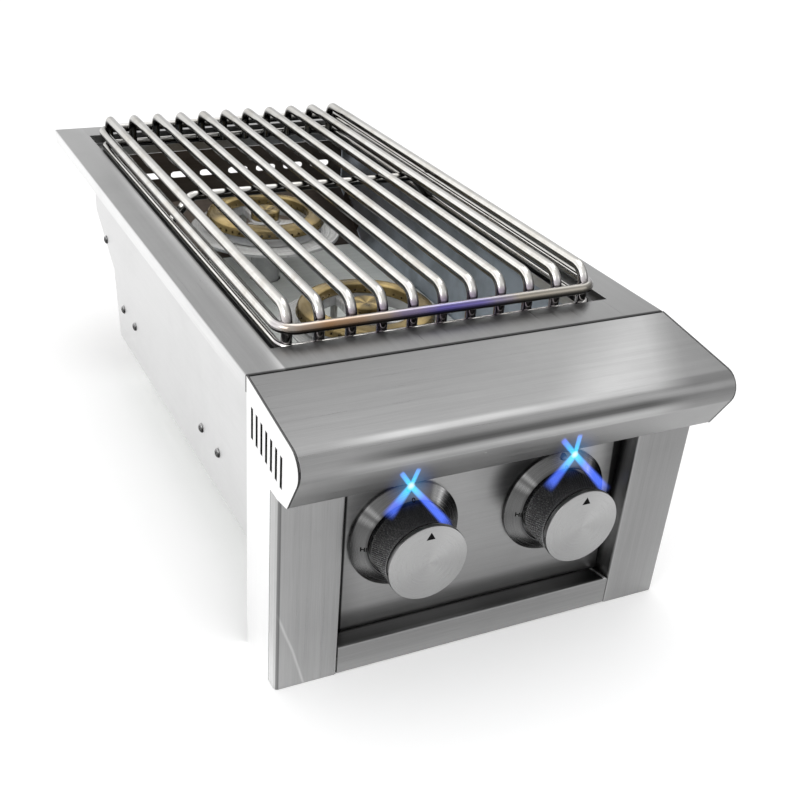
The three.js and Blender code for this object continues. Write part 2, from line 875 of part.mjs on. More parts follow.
function manifold() {
  const left = manifoldEnd(-1);
  const right = manifoldEnd(1);
  const pipe = turned([
    [0, left],
    [manifoldRadius, left],
    [manifoldRadius, right],
    [manifoldBore, right],
    [manifoldBore, left + manifoldEndWall],
    [0, left + manifoldEndWall],
  ], 'x', [0, manifoldY, manifoldZ], smallSides);
  place('gas_manifold', pipe, 'zincScrew');

  const x = elbowX();
  const half = elbowBlock / 2;
  const body = block([x - half, x + half], [manifoldY - half, manifoldY + half], [manifoldZ - half, manifoldZ + half]);
  const spigot = turned(rod(manifoldBore - seam, right - elbowSpigot, x), 'x', [0, manifoldY, manifoldZ], smallSides);
  const legEnd = -half - elbowLeg;
  const leg = turned(rod(elbowLegRadius, legEnd, 0), 'z', [x, manifoldY, manifoldZ], smallSides);
  const nutTop = -half - elbowNutDrop;
  const nut = turned(rod(elbowNutRadius, nutTop - elbowNutLength, nutTop), 'z', [x, manifoldY, manifoldZ], nutSides);
  const bore = turned(rod(elbowBore, legEnd - overrun, -half), 'z', [x, manifoldY, manifoldZ], smallSides);
  place('gas_inlet_elbow', joined([body, spigot, leg, nut]).subtract(bore), 'brass');
}

// Burners

function burner(name, y, side) {
  const mouthX = side * knobSpacing / 2;
  const route = filleted([
    new THREE.Vector3(mouthX, tubeMouthY, outletZ),
    new THREE.Vector3(mouthX, y - knobSpacing / 2, outletZ),
    new THREE.Vector3(0, y, outletZ),
    new THREE.Vector3(0, y, floorZ + riserTop),
  ], [tubeBend, tubeElbow], rodBendSteps);
  place(`${name}_mixing_tube`, tube(route, tubeRadius, tubeSides, tubeRadius - tubeWall), 'zincScrew');

  const centre = [0, y, 0];
  const crown = turned(closed([
    [baseInner, baseZ],
    [baseOuter, baseZ],
    [baseOuter, seatZ],
    [ribOuter, seatZ],
    [ribOuter, seatZ + ribHeight],
    [ribInner, seatZ + ribHeight],
    [ribInner, seatZ],
    [baseInner, seatZ],
  ]), 'z', centre);
  const neckInner = tubeRadius + neckFit;
  const neckEnd = floorZ - neckBelowFloor;
  const hub = turned([
    [0, baseZ + armHeight - hubRoof],
    [neckInner, baseZ + armHeight - hubRoof],
    [neckInner, neckEnd],
    [neckInner + neckWall, neckEnd],
    [neckInner + neckWall, baseZ],
    [hubRadius, baseZ],
    [hubRadius, baseZ + hubHeight - capSkirt],
    [hubSpigot, baseZ + hubHeight - capSkirt],
    [hubSpigot, baseZ + hubHeight],
    [0, baseZ + hubHeight],
  ], 'z', centre, roundSides / 2);
  const arms = Array.from({ length: armCount }, (_, k) => {
    const angle = THREE.MathUtils.degToRad(armFirstAngle) + 2 * Math.PI * k / armCount;
    const out = new THREE.Vector2(Math.cos(angle), Math.sin(angle));
    const along = (distance, sideways) => new THREE.Vector2(
      out.x * distance - out.y * sideways,
      y + out.y * distance + out.x * sideways,
    );
    const reach = (baseInner + ribInner) / 2;
    const start = hubRadius * armStartShare;
    return prism([
      along(start, -armWidth / 2),
      along(reach, -armWidth / 2),
      along(reach, armWidth / 2),
      along(start, armWidth / 2),
    ], 'z', baseZ, baseZ + armHeight);
  });
  place(`${name}_burner_base`, joined([crown, hub, ...arms]), 'castBase');

  const plate = turned(closed([
    [plateHole, plateZ - sheet],
    [plateHole, plateZ],
    [plateRadius - sheet, plateZ],
    [plateRadius, plateZ - sheet],
    [plateRadius, plateZ - plateRim],
    [plateRadius - sheet, plateZ - plateRim],
    [plateRadius - sheet, plateZ - sheet],
  ]), 'z', centre);
  const trims = [-1, 1].map((end) => block(
    [end * plateFlat, end * (plateRadius + overrun)].sort((a, b) => a - b),
    [y - plateRadius, y + plateRadius],
    [plateZ - plateRim - overrun, plateZ + overrun],
  ));
  const electrodeY = y + electrodeOffset;
  const electrodeHole = turned(rod(electrodeRadius + seam, -overrun, overrun), 'z', [0, electrodeY, plateZ], tubeSides);
  place(`${name}_drip_plate`, cutBy(plate, [...trims, electrodeHole]), 'polishedSteel');

  const ringZ = seatZ + seam;
  const grooveInner = ribInner - ringGrooveGap;
  const grooveOuter = ribOuter + ringGrooveGap;
  const crownZ = ringZ + ringSide + ringCrown;
  const ring = turned(closed([
    [grooveOuter, ringZ],
    [ringOuter, ringZ],
    [ringTopOuter, ringZ + ringSide],
    [(ringTopOuter + ringInner) / 2, crownZ - ringCrown / 4],
    [ringInner + ringEdge * 2, crownZ],
    [ringInner, crownZ - ringEdge],
    [ringInner, ringZ],
    [grooveInner, ringZ],
    [grooveInner, ringZ + ringGrooveDepth],
    [grooveOuter, ringZ + ringGrooveDepth],
  ]), 'z', centre);
  place(`${name}_brass_ring`, ring, 'brass');

  const capZ = baseZ + hubHeight - capSkirt + seam;
  const capInner = hubSpigot + ringGrooveGap;
  const cap = turned([
    [0, capZ + capSkirt],
    [capInner, capZ + capSkirt],
    [capInner, capZ],
    [capRadiusBrass, capZ],
    [capRadiusBrass, capZ + capHeight - capChamfer],
    [capRadiusBrass - capChamfer, capZ + capHeight],
    [0, capZ + capHeight],
  ], 'z', centre, roundSides / 2);
  place(`${name}_brass_cap`, cap, 'brass');

  const collarZ = plateZ + seam;
  const electrode = turned([
    [0, plateZ - electrodeBelow],
    [electrodeRadius, plateZ - electrodeBelow],
    [electrodeRadius, collarZ],
    [electrodeCollar, collarZ],
    [electrodeCollar, collarZ + electrodeCollarLength],
    [electrodeRadius, collarZ + electrodeCollarLength],
    [electrodeRadius, collarZ + electrodeAbove],
    [electrodeTip, collarZ + electrodeAbove],
    [electrodeTip, collarZ + electrodeAbove + electrodeTipLength],
    [0, collarZ + electrodeAbove + electrodeTipLength],
  ], 'z', [0, electrodeY, 0], tubeSides);
  place(`${name}_electrode`, electrode, 'ceramic');
}

function bracket(name, y) {
  const span = [y - bracketWidth / 2, y + bracketWidth / 2];
  const web = channel(liningHalf, webZ, bracketFlange - sheet, span, 1);
  const screws = screwPlaces().filter(([screwY]) => screwY > span[0] && screwY < span[1]);
  const holes = screws.map(([screwY, z]) => turned(
    rod(screwShank + screwHoleGap, -liningHalf - overrun, liningHalf + overrun),
    'x',
    [0, screwY, z],
    holeSides,
  ));
  place(`${name}_burner_bracket`, cutBy(web, holes), 'boxSteel');
}

function sparkModule() {
  const left = -liningHalf + moduleSideGap;
  const z = boxZ + sheet + seam;
  const box = block([left, left + moduleWidth], [moduleY, moduleY + moduleLength], [z, z + moduleHeight]);
  const studs = [moduleStudInset, moduleWidth - moduleStudInset].map((inset) => turned(
    rod(moduleStud, 0, moduleHeight + moduleStudLength),
    'z',
    [left + inset, moduleY + moduleLength / 2, z],
    tubeSides,
  ));
  const core = studs.map((stud) => stud.intersect(block(
    [left, left + moduleWidth],
    [moduleY, moduleY + moduleLength],
    [z + moduleHeight / 2, z + moduleHeight + moduleStudLength],
  )));
  place('spark_module', joined([box, ...core]), 'blackPlastic');
}

// Screws

function sideScrews(side) {
  screwPlaces().forEach(([y, z], i) => {
    const face = boxHalf + seam;
    const profile = [
      [0, face + screwHeadHeight],
      [screwHead * screwCrownShare, face + screwHeadHeight],
      [screwHead, face + screwHeadHeight / 3],
      [screwHead, face],
      [screwShank, face],
      [screwShank, face - screwLength],
      [0, face - screwLength],
    ].map(([radius, height]) => [radius, side * height]);
    const name = side < 0 ? 'left' : 'right';
    place(`${name}_side_screw_${i + 1}`, turned(profile, 'x', [0, y, z], tubeSides), 'zincScrew');
  });
}

// Grate

function rodLoop(half, frontY, backY, z, corner, radius) {
  return tube(filleted([
    new THREE.Vector3(seam, backY, z),
    new THREE.Vector3(half, backY, z),
    new THREE.Vector3(half, frontY, z),
    new THREE.Vector3(-half, frontY, z),
    new THREE.Vector3(-half, backY, z),
    new THREE.Vector3(-seam, backY, z),
  ], corner, rodBendSteps), radius, rodSides);
}

function grate() {
  const rimFrontY = wellFrontY + grateFrontGap;
  const rimBackY = wellBackY - grateBackGap;
  const crossY = rimFrontY + (rimBackY - rimFrontY) * crossShare;
  const barFrontY = rimFrontY + rimRadius + barRadius - weldSink;
  const barBackY = rimBackY - rimRadius - barRadius + weldSink;
  const outerBar = (barCount - 1) / 2 * barPitch;
  const rimHalf = outerBar + barRadius + rimRadius - weldSink;
  const footReach = barRadius + footRadius - weldSink;
  const footHalf = outerBar + footReach;
  const barFootZ = ledgeZ + gratePlay;
  const bars = Array.from({ length: barCount }, (_, i) => {
    const x = i * barPitch - outerBar;
    return tube(filleted([
      new THREE.Vector3(x, barFrontY, barFootZ),
      new THREE.Vector3(x, barFrontY, barZ),
      new THREE.Vector3(x, barBackY, barZ),
      new THREE.Vector3(x, barBackY, barFootZ),
    ], barBend, rodBendSteps), barRadius, rodSides);
  });
  const crossZ = barZ - 2 * barRadius + weldSink;
  const legX = footHalf - footRadius;
  const cross = tube(filleted([
    new THREE.Vector3(-legX, crossY, footZ),
    new THREE.Vector3(-legX + crossLegRun, crossY, crossZ),
    new THREE.Vector3(legX - crossLegRun, crossY, crossZ),
    new THREE.Vector3(legX, crossY, footZ),
  ], crossBend, rodBendSteps), barRadius, rodSides);
  const rim = rodLoop(rimHalf, rimFrontY, rimBackY, rimZ, rimCorner, rimRadius);
  const foot = rodLoop(footHalf, barFrontY - footReach, barBackY + footReach, footZ, footCorner, footRadius);
  place('grate', joined([...bars, rim]), 'polishedSteel');
  place('grate_foot_ring', cutBy(foot, bars), 'polishedSteel');
  place('grate_cross_rod', cutBy(cross, [...bars, foot]), 'polishedSteel');
}

topFrame();
sidePanel(-1);
sidePanel(1);
backPanel();
firebox();
bullnosePanel();
endCap(-1);
endCap(1);
stile(-1);
stile(1);
bottomRail();
controlPanel();
knobSet(-1);
knobSet(1);
valve(-1);
valve(1);
manifold();
burner('front', frontBurnerY, -1);
burner('rear', rearBurnerY, 1);
bracket('front', frontBracketY);
bracket('rear', rearBracketY);
sparkModule();
sideScrews(-1);
sideScrews(1);
grate();

export default sideBurner;
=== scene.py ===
import math

import bmesh
import bpy
from mathutils import Matrix, Vector


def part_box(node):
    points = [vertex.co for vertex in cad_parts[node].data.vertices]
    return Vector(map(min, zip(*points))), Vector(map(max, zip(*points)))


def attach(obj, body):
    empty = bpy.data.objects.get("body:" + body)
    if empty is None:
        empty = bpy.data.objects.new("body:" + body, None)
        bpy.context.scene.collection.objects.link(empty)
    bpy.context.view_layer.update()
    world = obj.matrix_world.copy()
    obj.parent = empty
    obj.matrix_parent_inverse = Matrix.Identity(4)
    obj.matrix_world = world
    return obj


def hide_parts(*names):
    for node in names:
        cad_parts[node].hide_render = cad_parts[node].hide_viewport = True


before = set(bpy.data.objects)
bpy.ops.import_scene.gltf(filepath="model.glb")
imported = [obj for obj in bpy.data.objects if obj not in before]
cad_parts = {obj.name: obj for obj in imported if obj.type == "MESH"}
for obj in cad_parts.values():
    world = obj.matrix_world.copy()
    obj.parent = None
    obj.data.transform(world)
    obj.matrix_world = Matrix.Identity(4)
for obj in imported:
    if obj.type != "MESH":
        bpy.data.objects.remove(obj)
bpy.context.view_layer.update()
scene = bpy.context.scene
scene.view_settings.view_transform = "Standard"
mm = 0.001
print("frame loaded")


class Wire:
    # an output socket that can be reckoned with: each sum becomes a math node
    def __init__(self, socket):
        self.socket = socket
        self.tree = socket.id_data

    def __add__(self, other):
        return reckon("ADD", self, other)

    def __sub__(self, other):
        return reckon("SUBTRACT", self, other)

    def __rsub__(self, other):
        return reckon("SUBTRACT", other, self)

    def __mul__(self, other):
        return reckon("MULTIPLY", self, other)

    def __truediv__(self, other):
        return reckon("DIVIDE", self, other)

    def __abs__(self):
        return reckon("ABSOLUTE", self)


def plugAll(node, links):
    for key, value in links.items():
        if isinstance(value, Wire):
            value.tree.links.new(value.socket, node.inputs[key])
        else:
            node.inputs[key].default_value = value


def addNode(tree, kind, links=None, **settings):
    node = tree.nodes.new(kind)
    for key, value in settings.items():
        setattr(node, key, value)
    plugAll(node, links or {})
    return node


def treeOf(*values):
    return next(value.tree for value in values if isinstance(value, Wire))


def reckon(operation, *values):
    node = addNode(treeOf(*values), "ShaderNodeMath", dict(enumerate(values)), operation=operation)
    return Wire(node.outputs[0])


def most(first, *others):
    for other in others:
        first = reckon("MAXIMUM", first, other)
    return first


def mix(factor, a, b):
    node = addNode(treeOf(factor, a, b), "ShaderNodeMix", {0: factor, 6: a, 7: b}, data_type="RGBA")
    return Wire(node.outputs[2])


def axes(vector):
    return [Wire(output) for output in addNode(vector.tree, "ShaderNodeSeparateXYZ", {0: vector}).outputs]


def normalIn(tree):
    return Wire(addNode(tree, "ShaderNodeNewGeometry").outputs["Normal"])


def vectorMath(operation, vector, other):
    node = addNode(vector.tree, "ShaderNodeVectorMath", {0: vector, 1: other}, operation=operation)
    return Wire(node.outputs["Value"])


def noise(vector, scale, detail, roughness=0.5, distortion=0.0):
    sizes = {"Scale": scale, "Detail": detail, "Roughness": roughness, "Distortion": distortion}
    return Wire(addNode(vector.tree, "ShaderNodeTexNoise", {"Vector": vector, **sizes}).outputs["Fac"])


def cells(vector, scale):
    return Wire(addNode(vector.tree, "ShaderNodeTexVoronoi", {"Vector": vector, "Scale": scale}).outputs["Distance"])


def spanned(value, low, high, start=0.0, end=1.0, smooth=False):
    # what runs from low to high comes out from start to end, and stops there
    links = {"Value": value, "From Min": low, "From Max": high, "To Min": start, "To Max": end}
    kind = "SMOOTHSTEP" if smooth else "LINEAR"
    return Wire(addNode(value.tree, "ShaderNodeMapRange", links, interpolation_type=kind).outputs[0])


def between(value, start, end):
    return spanned(value, 0.0, 1.0, start, end)


def colourRamp(share, bands, ease=False):
    node = addNode(share.tree, "ShaderNodeValToRGB", {"Fac": share})
    node.color_ramp.interpolation = "EASE" if ease else "LINEAR"
    stops = node.color_ramp.elements
    stops[0].color, stops[1].color = rgb(*bands[0][1]), rgb(*bands[-1][1])
    for spot, colour in bands[1:-1]:
        stops.new(spot).color = rgb(*colour)
    return Wire(node.outputs["Color"])


def ramp(value, stops, ease=False):
    # a level that follows the stops, each (value, level)
    low, high = stops[0][0], stops[-1][0]
    bands = [((spot - low) / (high - low), [level] * 3) for spot, level in stops]
    return colourRamp(spanned(value, low, high), bands, ease)


def rgb(r, g, b):
    return (r, g, b, 1.0)


def mixed(colour, share):
    return rgb(*[max(0.0, min(1.0, c * share)) for c in colour[:3]])


def newGroup(name, inputs, outputs):
    tree = bpy.data.node_groups.new(name, "ShaderNodeTree")
    for way, sockets in (("INPUT", inputs), ("OUTPUT", outputs)):
        for label, kind in sockets.items():
            tree.interface.new_socket(name=label, in_out=way, socket_type="NodeSocket" + kind)
    source = tree.nodes.new("NodeGroupInput")
    return tree, [Wire(source.outputs[label]) for label in inputs], tree.nodes.new("NodeGroupOutput")


def useGroup(tree, group, links):
    node = addNode(tree, "ShaderNodeGroup", links, node_tree=group)
    return {output.name: Wire(output) for output in node.outputs}


black = rgb(0, 0, 0)
white = rgb(1, 1, 1)


# effects shared by several finishes
def buildBrushGrain():
    tree, (vector,), sink = newGroup("brushGrain", {"Vector": "Vector"}, {"Streak": "Float", "Height": "Float"})
    fine = noise(vector, 1.0, 3.0, 0.75)
    widened = addNode(tree, "ShaderNodeVectorMath", {0: vector, "Scale": 0.16}, operation="SCALE")
    wide = noise(Wire(widened.outputs[0]), 1.0, 2.0)
    plugAll(sink, {"Streak": spanned(fine * 0.6 + wide * 0.4, 0.32, 0.68), "Height": fine})
    return tree


def buildHandling():
    tree, (vector, size), sink = newGroup("handlingMarks", {"Vector": "Vector", "Size": "Float"}, {"Mask": "Float"})
    plugAll(sink, {"Mask": spanned(noise(vector, size, 5.0, 0.62, 0.4), 0.42, 0.7, smooth=True)})
    return tree


turning = {"ringsPerMetre": 2600.0, "sweep": 0.8}


def buildTurnedGrain():
    tree, (across, up), sink = newGroup("turnedGrain", {"Across": "Float", "Up": "Float"},
                                        {"Streak": "Float", "Angle": "Float", "Radius": "Float"})
    radius = reckon("SQRT", across * across + up * up)
    angle = reckon("ARCTAN2", up, across)
    ringLinks = {"X": radius * turning["ringsPerMetre"], "Y": angle * turning["sweep"]}
    rings = addNode(tree, "ShaderNodeCombineXYZ", ringLinks)
    streak = spanned(noise(Wire(rings.outputs[0]), 1.0, 2.0, 0.7), 0.3, 0.7)
    plugAll(sink, {"Streak": streak, "Angle": angle, "Radius": radius})
    return tree


heat = {
    # colours along the front rim rod, as (share of its length, colour), and the colour low on the front legs
    "half": 0.13,
    "bands": ((0.0, (0.62, 0.6, 0.57)), (0.16, (0.66, 0.38, 0.2)), (0.27, (0.6, 0.46, 0.36)),
              (0.38, (0.4, 0.33, 0.52)), (0.5, (0.24, 0.2, 0.66)), (0.62, (0.32, 0.28, 0.58)),
              (0.74, (0.58, 0.52, 0.44)), (1.0, (0.66, 0.62, 0.55))),
    "leg": rgb(0.3, 0.2, 0.36),
}


def buildHeatTint():
    tree, (vector, base), sink = newGroup("heatTint", {"Vector": "Vector", "Base": "Color"}, {"Colour": "Color"})
    x, y, z = axes(vector)
    along = (noise(vector, 55.0, 3.0) - 0.5) * 0.05 + x
    tint = mix(0.85, black, colourRamp(spanned(along, -heat["half"], heat["half"]), heat["bands"]))
    onFront = spanned(y, 0.041, 0.038)
    ahead = spanned(axes(normalIn(tree))[1], -0.1, -0.75, 0.45, 1.0)
    onRim = mix(onFront * spanned(z, 0.0145, 0.017) * ahead, base, tint)
    low = spanned(z, 0.0325, 0.026, smooth=True)
    middle = spanned(abs(x), 0.125, 0.05)
    onLeg = spanned(y, 0.05, 0.046) * low * (1.0 - onFront) * (middle * 0.5 + 0.25)
    plugAll(sink, {"Colour": mix(onLeg, onRim, heat["leg"])})
    return tree


ways = ("Right", "Left", "Back", "Front", "Up", "Under")


def buildFacingLight():
    # painted light and shade: each way that a surface can face has its own painted level, and a slanted face mixes
    # them
    tree, sources, sink = newGroup("facingLight", dict.fromkeys(ways, "Float"), {"Tone": "Float"})
    shares = []
    for part, plus, minus in zip(axes(normalIn(tree)), sources[0::2], sources[1::2]):
        level = reckon("GREATER_THAN", part, 0.0) * (plus - minus) + minus
        shares.append(part * part * level)
    plugAll(sink, {"Tone": shares[0] + shares[1] + shares[2]})
    return tree


rodLevels = {
    # painted light: levels by facing the light, the painted shade to the rear and underneath, and the painted
    # highlight along the top
    "lightFrom": (-0.76, -0.25, 0.6),
    "lit": ((-1.0, 0.06), (0.05, 0.09), (0.25, 0.18), (0.42, 0.34), (0.58, 0.5), (0.74, 0.6), (0.84, 0.7),
            (0.93, 0.98), (0.97, 1.0), (1.0, 0.85)),
    "depth": ((0.05, 1.0), (0.3, 0.94), (0.43, 0.84), (0.5, 0.66)),
    "upright": ((0.046, 1.0), (0.05, 0.0), (0.526, 0.0), (0.529, 1.0)),
    "under": ((-0.4, 0.1), (-0.02, 0.45), (0.14, 1.0)),
    "legUnder": ((-0.35, 0.1), (-0.12, 1.0)),
    "crestFrom": (0.0, -0.3, 0.954),
    "crest": ((0.968, 0.0), (0.985, 0.9)),
}


def buildRodLight():
    # painted reflection on the polished rods: bright towards the upper left with a painted highlight line along the
    # top, and painted shade to the right, underneath and to the rear
    tree, (vector, base), sink = newGroup("rodLight", {"Vector": "Vector", "Base": "Color"}, {"Colour": "Color"})
    facing, r = normalIn(tree), rodLevels
    under = axes(facing)[2]
    depth = axes(vector)[1]
    level = ramp(vectorMath("DOT_PRODUCT", facing, r["lightFrom"]), r["lit"]) * ramp(depth, r["depth"])
    level = most(level, ramp(vectorMath("DOT_PRODUCT", facing, r["crestFrom"]), r["crest"]))
    shown = most(ramp(under, r["under"]), ramp(depth, r["upright"]) * ramp(under, r["legUnder"]))
    plugAll(sink, {"Colour": mix(level * shown, black, base)})
    return tree


lampGlow = {
    # the two lamps' light painted as glow on what is round them: centre in mm, lean of the sheet of light, and beams
    # as (degrees, reach, half width, spread, strength)
    "left": ((-63.1, -46.0, -65.8), (0.569, 0.729),
             ((-127.0, 29.0, 3.6, 0.14, 0.7), (-50.3, 55.0, 2.9, 0.03, 0.9), (124.2, 15.0, 2.4, 0.0, 0.85),
              (68.7, 14.0, 2.4, 0.0, 0.85))),
    "right": ((70.6, -46.0, -67.9), (0.81, 0.733),
              ((-127.5, 33.0, 4.0, 0.12, 0.75), (-47.2, 57.0, 3.3, 0.03, 0.9), (131.0, 20.0, 2.8, 0.0, 0.85),
               (84.1, 16.5, 2.7, 0.0, 0.85))),
}
glowLight = {
    # levels by distance from the lamp, the front of what it lights, and the beam's colours from edge to core
    "core": ((0.001, 1.0), (0.0034, 0.82), (0.0165, 0.0)), "haze": ((0.0, 0.13), (0.022, 0.0)), "front": -0.034,
    "blue": rgb(0.11, 0.22, 1.15), "cyan": rgb(0.04, 0.9, 1.1), "pale": rgb(0.9, 1.0, 1.0), "mirrored": 0.97,
}


def buildLampGlow():
    # painted light: the lamps' core, haze and beams, emitted by the surfaces round them
    tree, (vector,), sink = newGroup("lampGlow", {"Vector": "Vector"}, {"Glow": "Color"})
    x, y, z = axes(vector)
    g, blue, core, haze = glowLight, 0.0, 0.0, 0.0
    for (cx, cy, cz), (leanX, leanZ), beams in lampGlow.values():
        depth = y - cy * mm
        u = depth * -leanX + (x - cx * mm)
        v = depth * leanZ + (z - cz * mm)
        distance = reckon("SQRT", u * u + v * v)
        for degrees, reach, half, spread, strength in beams:
            dx, dz = math.cos(math.radians(degrees)), math.sin(math.radians(degrees))
            ahead = u * dx + v * dz
            aside = abs(u * -dz + v * dx) / (ahead * spread + half * mm)
            fadeFrom = (0.8 if dz > 0 else 0.72) * reach * mm
            fade = ramp(ahead, ((-0.002, 0.0), (0.0005, 1.0), (fadeFrom, strength), (reach * mm, 0.0)), ease=True)
            blue = most(ramp(aside, ((0.3, 1.0), (1.0, 0.0)), ease=True) * fade, blue)
        core = most(ramp(distance, g["core"]), core)
        haze = most(ramp(distance, g["haze"], ease=True), haze)
    inFront = reckon("LESS_THAN", y, g["front"])
    beam = most(blue, haze) * inFront
    tinted = mix(core * beam, mix(beam, black, g["blue"]), g["cyan"])
    plugAll(sink, {"Glow": mix(ramp(core * inFront, ((0.82, 0.0), (1.0, 0.85))), tinted, g["pale"])})
    return tree


brushGrain = buildBrushGrain()
handlingMarks = buildHandling()
turnedGrain = buildTurnedGrain()
heatTint = buildHeatTint()
rodLight = buildRodLight()
facingLight = buildFacingLight()
lampGlowGroup = buildLampGlow()


def marksOn(place, size):
    return useGroup(place.tree, handlingMarks, {"Vector": place, "Size": size})["Mask"]


def facingLightLevel(tree, levels):
    return useGroup(tree, facingLight, dict(zip(ways, levels)))["Tone"]


def newMaterial(name):
    material = bpy.data.materials.new(name)
    material.use_nodes = True
    tree = material.node_tree
    return material, tree.nodes["Principled BSDF"], Wire(addNode(tree, "ShaderNodeTexCoord").outputs["Object"])


def endMaterial(parts, colour, rough, metallic=0.0, bump=None, glow=False):
    # bump is (height, strength, distance)
    material, shader, place = parts
    plugAll(shader, {"Base Color": colour, "Roughness": rough, "Metallic": metallic})
    if bump:
        node = addNode(place.tree, "ShaderNodeBump", dict(zip(("Height", "Strength", "Distance"), bump)))
        plugAll(shader, {"Normal": Wire(node.outputs[0])})
    if glow:
        # the lamps' light is painted on as glow; mirrored in polished metal it is weaker than seen directly
        lit = useGroup(place.tree, lampGlowGroup, {"Vector": place})["Glow"]
        glossy = Wire(addNode(place.tree, "ShaderNodeLightPath").outputs["Is Glossy Ray"])
        shown = mix(glossy * glowLight["mirrored"], lit, black)
        plugAll(shader, {"Emission Color": shown, "Emission Strength": 1.0})
    return material


def frameShade(place):
    # darker along the seam with the nose, painted shade towards the front, and a painted highlight on the left bend
    x, y = axes(place)[:2]
    seamLine = ramp(y, ((-0.0008, 0.15), (0.0012, 0.3), (0.0022, 1.0)))
    nearness = ramp(y, ((0.0, 0.84), (0.06, 0.93), (0.55, 1.0)))
    # painted highlight: the left strip catches light along its inner bend, less so to the rear
    bend = ramp(x, ((-0.1495, 0.0), (-0.1445, 0.2), (-0.1402, 0.75), (-0.1385, 0.9), (-0.1372, 0.0)))
    return seamLine * nearness * (bend * ramp(y, ((0.34, 1.0), (0.5, 0.1))) + 1.0)


noseTones = {
    # painted reflection, by the way that the face turns: the banded middle and the plainer ends
    "band": ((-0.6, 0.25), (-0.505, 0.26), (-0.45, 0.48), (-0.2, 0.54), (-0.06, 0.42), (0.13, 0.15), (0.28, 0.135),
             (0.43, 0.18), (0.58, 0.28), (0.7, 0.36), (0.81, 0.44), (0.9, 0.67), (0.96, 0.66), (1.0, 0.56)),
    "plain": ((-0.6, 0.27), (-0.5, 0.29), (-0.43, 0.36), (0.0, 0.36), (0.7, 0.38), (0.9, 0.33), (1.0, 0.33)),
    "onLip": ((-0.5, 1.0), (-0.42, 0.0)),
    "onTop": ((0.965, 0.0), (0.988, 1.0)),
    # painted levels along the nose, from left to right
    "middle": ((-0.15, 0.0), (-0.08, 1.0), (0.085, 1.0), (0.14, 0.1)),
    "gain": ((-0.165, 0.8), (-0.13, 0.84), (-0.06, 0.72), (0.0, 0.8), (0.06, 0.84), (0.1, 0.8), (0.13, 0.6),
             (0.165, 0.6)),
    "lipGain": ((-0.16, 1.3), (-0.06, 1.14), (0.0, 1.1), (0.06, 1.08), (0.16, 1.0)),
    "flat": ((-0.165, 0.33), (-0.13, 0.355), (-0.06, 0.375), (0.0, 0.41), (0.06, 0.48), (0.13, 0.475),
             (0.165, 0.47)),
    # by depth, across the broad painted sheen and towards the right front corner, which is painted darker
    "near": ((-0.09, 1.0), (0.0, 0.88)),
    "seam": ((-0.0026, 1.0), (-0.0014, 0.25), (-0.0002, 0.12)),
    "sheen": ((0.0, 0.38), (0.045, 0.0)),
    "corner": ((0.143, 1.0), (0.168, 0.72), (0.2, 0.64)),
}


def noseShade(place):
    # painted reflection: a bright line over a dark band, which die out towards the ends, under a flat top with a
    # painted diagonal sheen
    n = noseTones
    x, y = axes(place)[:2]
    turn = axes(normalIn(place.tree))[2]
    moved = (noise(place, 9.0, 3.0) - 0.5) * 0.1 + turn
    rounded = mix(ramp(x, n["middle"], ease=True), ramp(moved, n["plain"]), ramp(moved, n["band"]))
    rounded = rounded * mix(ramp(turn, n["onLip"]), ramp(x, n["gain"]), ramp(x, n["lipGain"]))
    lean = (x - 0.06) * 0.72 - (y + 0.088) * 0.69
    topLevel = ramp(x, n["flat"]) * (ramp(abs(lean), n["sheen"], ease=True) + 1.0) * ramp(y, n["near"])
    topLevel = topLevel * ramp(y * -0.5 + x, n["corner"])
    return mix(ramp(turn, n["onTop"]), rounded, topLevel) * ramp(y, n["seam"])


stileTones = {
    "returns": ((0.1172, 0.0), (0.1182, 1.0)),
    "deep": ((-0.0566, 1.0), (-0.0556, 0.6), (-0.0535, 0.9), (-0.046, 0.75), (-0.0425, 0.25), (-0.04, 0.15)),
    "deepUp": ((-0.2, 0.35), (-0.13, 0.6), (-0.06, 1.0)),
    "deepSide": ((0.0, 1.0), (0.1, 0.6)),
    "fold": ((-0.165, 0.55), (-0.1628, 0.45), (-0.1622, 0.4), (-0.1616, 1.0)),
    "brink": ((0.1176, 0.4), (0.1186, 0.0)),
    "streakPath": ((-0.21, 0.85), (-0.176, 0.48), (-0.16, 0.25), (-0.145, 0.06), (-0.14, 0.0)),
    "streak": ((0.0, 0.4), (0.0016, 0.0)),
    "streakEnd": ((-0.15, 1.0), (-0.14, 0.0)),
    "foot": ((-0.205, 1.45), (-0.19, 1.35), (-0.16, 1.18), (-0.13, 1.13), (-0.07, 1.0)),
    "side": ((-0.12, 1.07), (0.12, 0.87)),
}


def stileShade(place):
    # painted light and shade: the narrow inner returns lie in painted shadow, with a painted lit front edge and a
    # painted streak of light across the left foot; the left fold is painted darker, and the faces lighter towards the
    # foot and to the left
    s = stileTones
    x, y, z = axes(place)
    away = abs(x)
    deep = ramp(y, s["deep"]) * ramp(z, s["deepUp"]) * ramp(x, s["deepSide"])
    path = ramp(z, s["streakPath"]) * 0.025 - 0.164
    streak = ramp(abs(x - path), s["streak"], ease=True)
    lit = streak * ramp(z, s["streakEnd"]) + (ramp(away, s["brink"]) + 1.0)
    lit = lit * ramp(z, s["foot"]) * ramp(x, s["side"]) * ramp(x, s["fold"])
    return lit * most(ramp(away, s["returns"]), deep)


